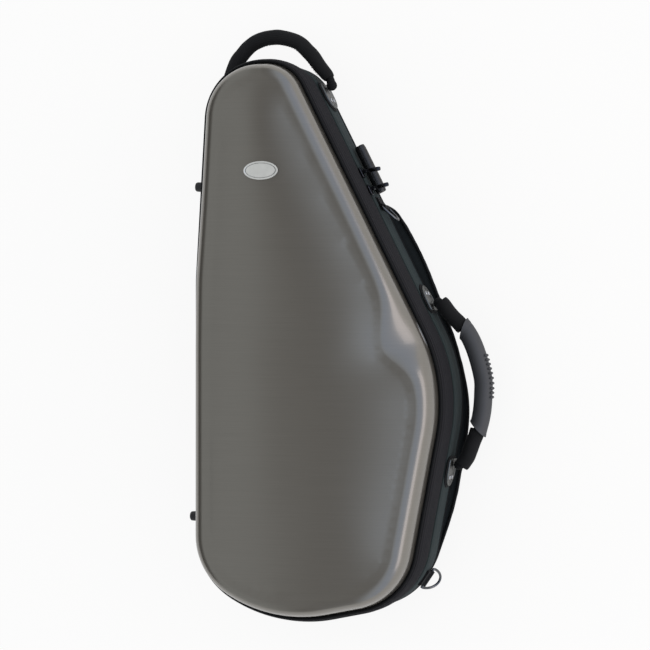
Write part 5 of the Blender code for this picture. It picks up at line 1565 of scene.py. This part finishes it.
class CASE_OT_strap_rings(bpy.types.Operator):
    """Makes the two wire rings for a shoulder strap, and their folded and sewn tabs."""

    bl_idname = "case.strap_rings"
    bl_label = "Strap Rings"

    def execute(self, context):
        half, bend, wire = 0.0100, 0.00255, 0.0015
        quarter = Matrix.Rotation(-math.pi / 2, 4, "Z")
        # The lower ring hangs towards the floor and the upper one along the wall, each at its own rest angle.
        frames = {"lower": (wall_frame(RING_YS["lower"], True, 0.0032, BASE_LOW + 0.008), 30.0),
                  "upper": (wall_frame(RING_YS["upper"], True, 0.0035, HANDLE_Z) @ quarter, 20.0)}
        path = [(0.0142, -0.0026), (0.0100, -0.0026), (0.0050, -0.0026)]
        turns = [math.radians(angle) for angle in range(290, 19, -15)]
        path += [(bend * math.cos(turn), bend * math.sin(turn)) for turn in turns]
        path += [(0.0042, -0.0006), (0.0080, -0.0012), (0.0130, -0.0013)]
        section = strip_section(path, 0.0012)
        # The seam is a box with one diagonal.
        corners = [Vector((x * 0.0090, y, -0.00055)) for x, y in (
            (-1, 0.0060), (1, 0.0060), (1, 0.0120), (-1, 0.0120), (-1, 0.0060), (1, 0.0120))]
        bow = [Vector((0.013 * math.cos(math.pi * k / 40), -0.021 * math.sin(math.pi * k / 40), 0.0))
               for k in range(41)]
        loop = bow + [bow[-1].lerp(bow[0], k / 10) for k in range(1, 10)]
        for place, (turn, rest) in frames.items():
            rows = [[turn @ Vector((-half + 2 * half * k / 22, y, z)) for y, z in section] for k in range(23)]
            tab = surface("ring_loop_" + place, rows, "webbing", 60, tube=True, caps=True)
            settle(tab, "base", ["ring_tab_" + place])
            out = turn.to_3x3() @ UP
            line = [(turn @ a.lerp(b, k / 6), out) for a, b in zip(corners, corners[1:]) for k in range(6)]
            settle(stitches("ring_stitches_" + place, [line]), "base")
            turn = turn @ Matrix.Rotation(math.radians(-rest), 4, "X")
            rows = []
            for k, point in enumerate(loop):
                side = (loop[(k + 1) % len(loop)] - loop[k - 1]).cross(UP).normalized()
                rows.append([turn @ (point + side * wire * x + UP * wire * y) for x, y in circle(14)])
            ring = surface("wire_ring_" + place, rows, "ring", ring=True, tube=True)
            settle(ring, "ring_" + place, ["strap_ring_" + place])
        return {"FINISHED"}


class CASE_PT_panel(bpy.types.Panel):
    """Lists the case's pieces and their sizes in the sidebar."""

    bl_label = "Saxophone Case"
    bl_idname = "CASE_PT_panel"
    bl_space_type = "VIEW_3D"
    bl_region_type = "UI"
    bl_category = "Case"

    def draw(self, context):
        for name in SETTINGS:
            box = self.layout.box()
            group = getattr(context.scene, name)
            for key in type(group).__annotations__:
                box.prop(group, key)
        for operator in OPERATORS:
            self.layout.operator(operator.bl_idname)


SETTINGS = {"case_shell": ShellSettings, "case_fabric": FabricSettings, "case_zip": ZipSettings,
            "case_handles": HandleSettings, "case_stage": StageSettings}
OPERATORS = (CASE_OT_stage, CASE_OT_front_shell, CASE_OT_badge, CASE_OT_walls, CASE_OT_pipings,
             CASE_OT_main_zip, CASE_OT_spine_hinge, CASE_OT_spine_feet, CASE_OT_lid_lining, CASE_OT_cradle,
             CASE_OT_back, CASE_OT_pocket, CASE_OT_plates, CASE_OT_side_handle, CASE_OT_top_handle,
             CASE_OT_sliders, CASE_OT_strap_roll, CASE_OT_strap_rings)
MATERIALS = {}


def register():
    """Registers the settings, the operators and the panel."""
    for name, group in SETTINGS.items():
        bpy.utils.register_class(group)
        setattr(bpy.types.Scene, name, bpy.props.PointerProperty(type=group))
    for made in (*OPERATORS, CASE_PT_panel):
        bpy.utils.register_class(made)


def unregister():
    """Takes them all away again."""
    for made in (*OPERATORS, CASE_PT_panel):
        bpy.utils.unregister_class(made)
    for name, group in SETTINGS.items():
        delattr(bpy.types.Scene, name)
        bpy.utils.unregister_class(group)


def main():
    """Dresses the case."""
    register()
    MATERIALS.update(make_materials(bpy.context.scene))
    for operator in OPERATORS:
        family, name = operator.bl_idname.split(".")
        getattr(getattr(bpy.ops, family), name)()
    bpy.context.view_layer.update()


if __name__ == "__main__":
    main()
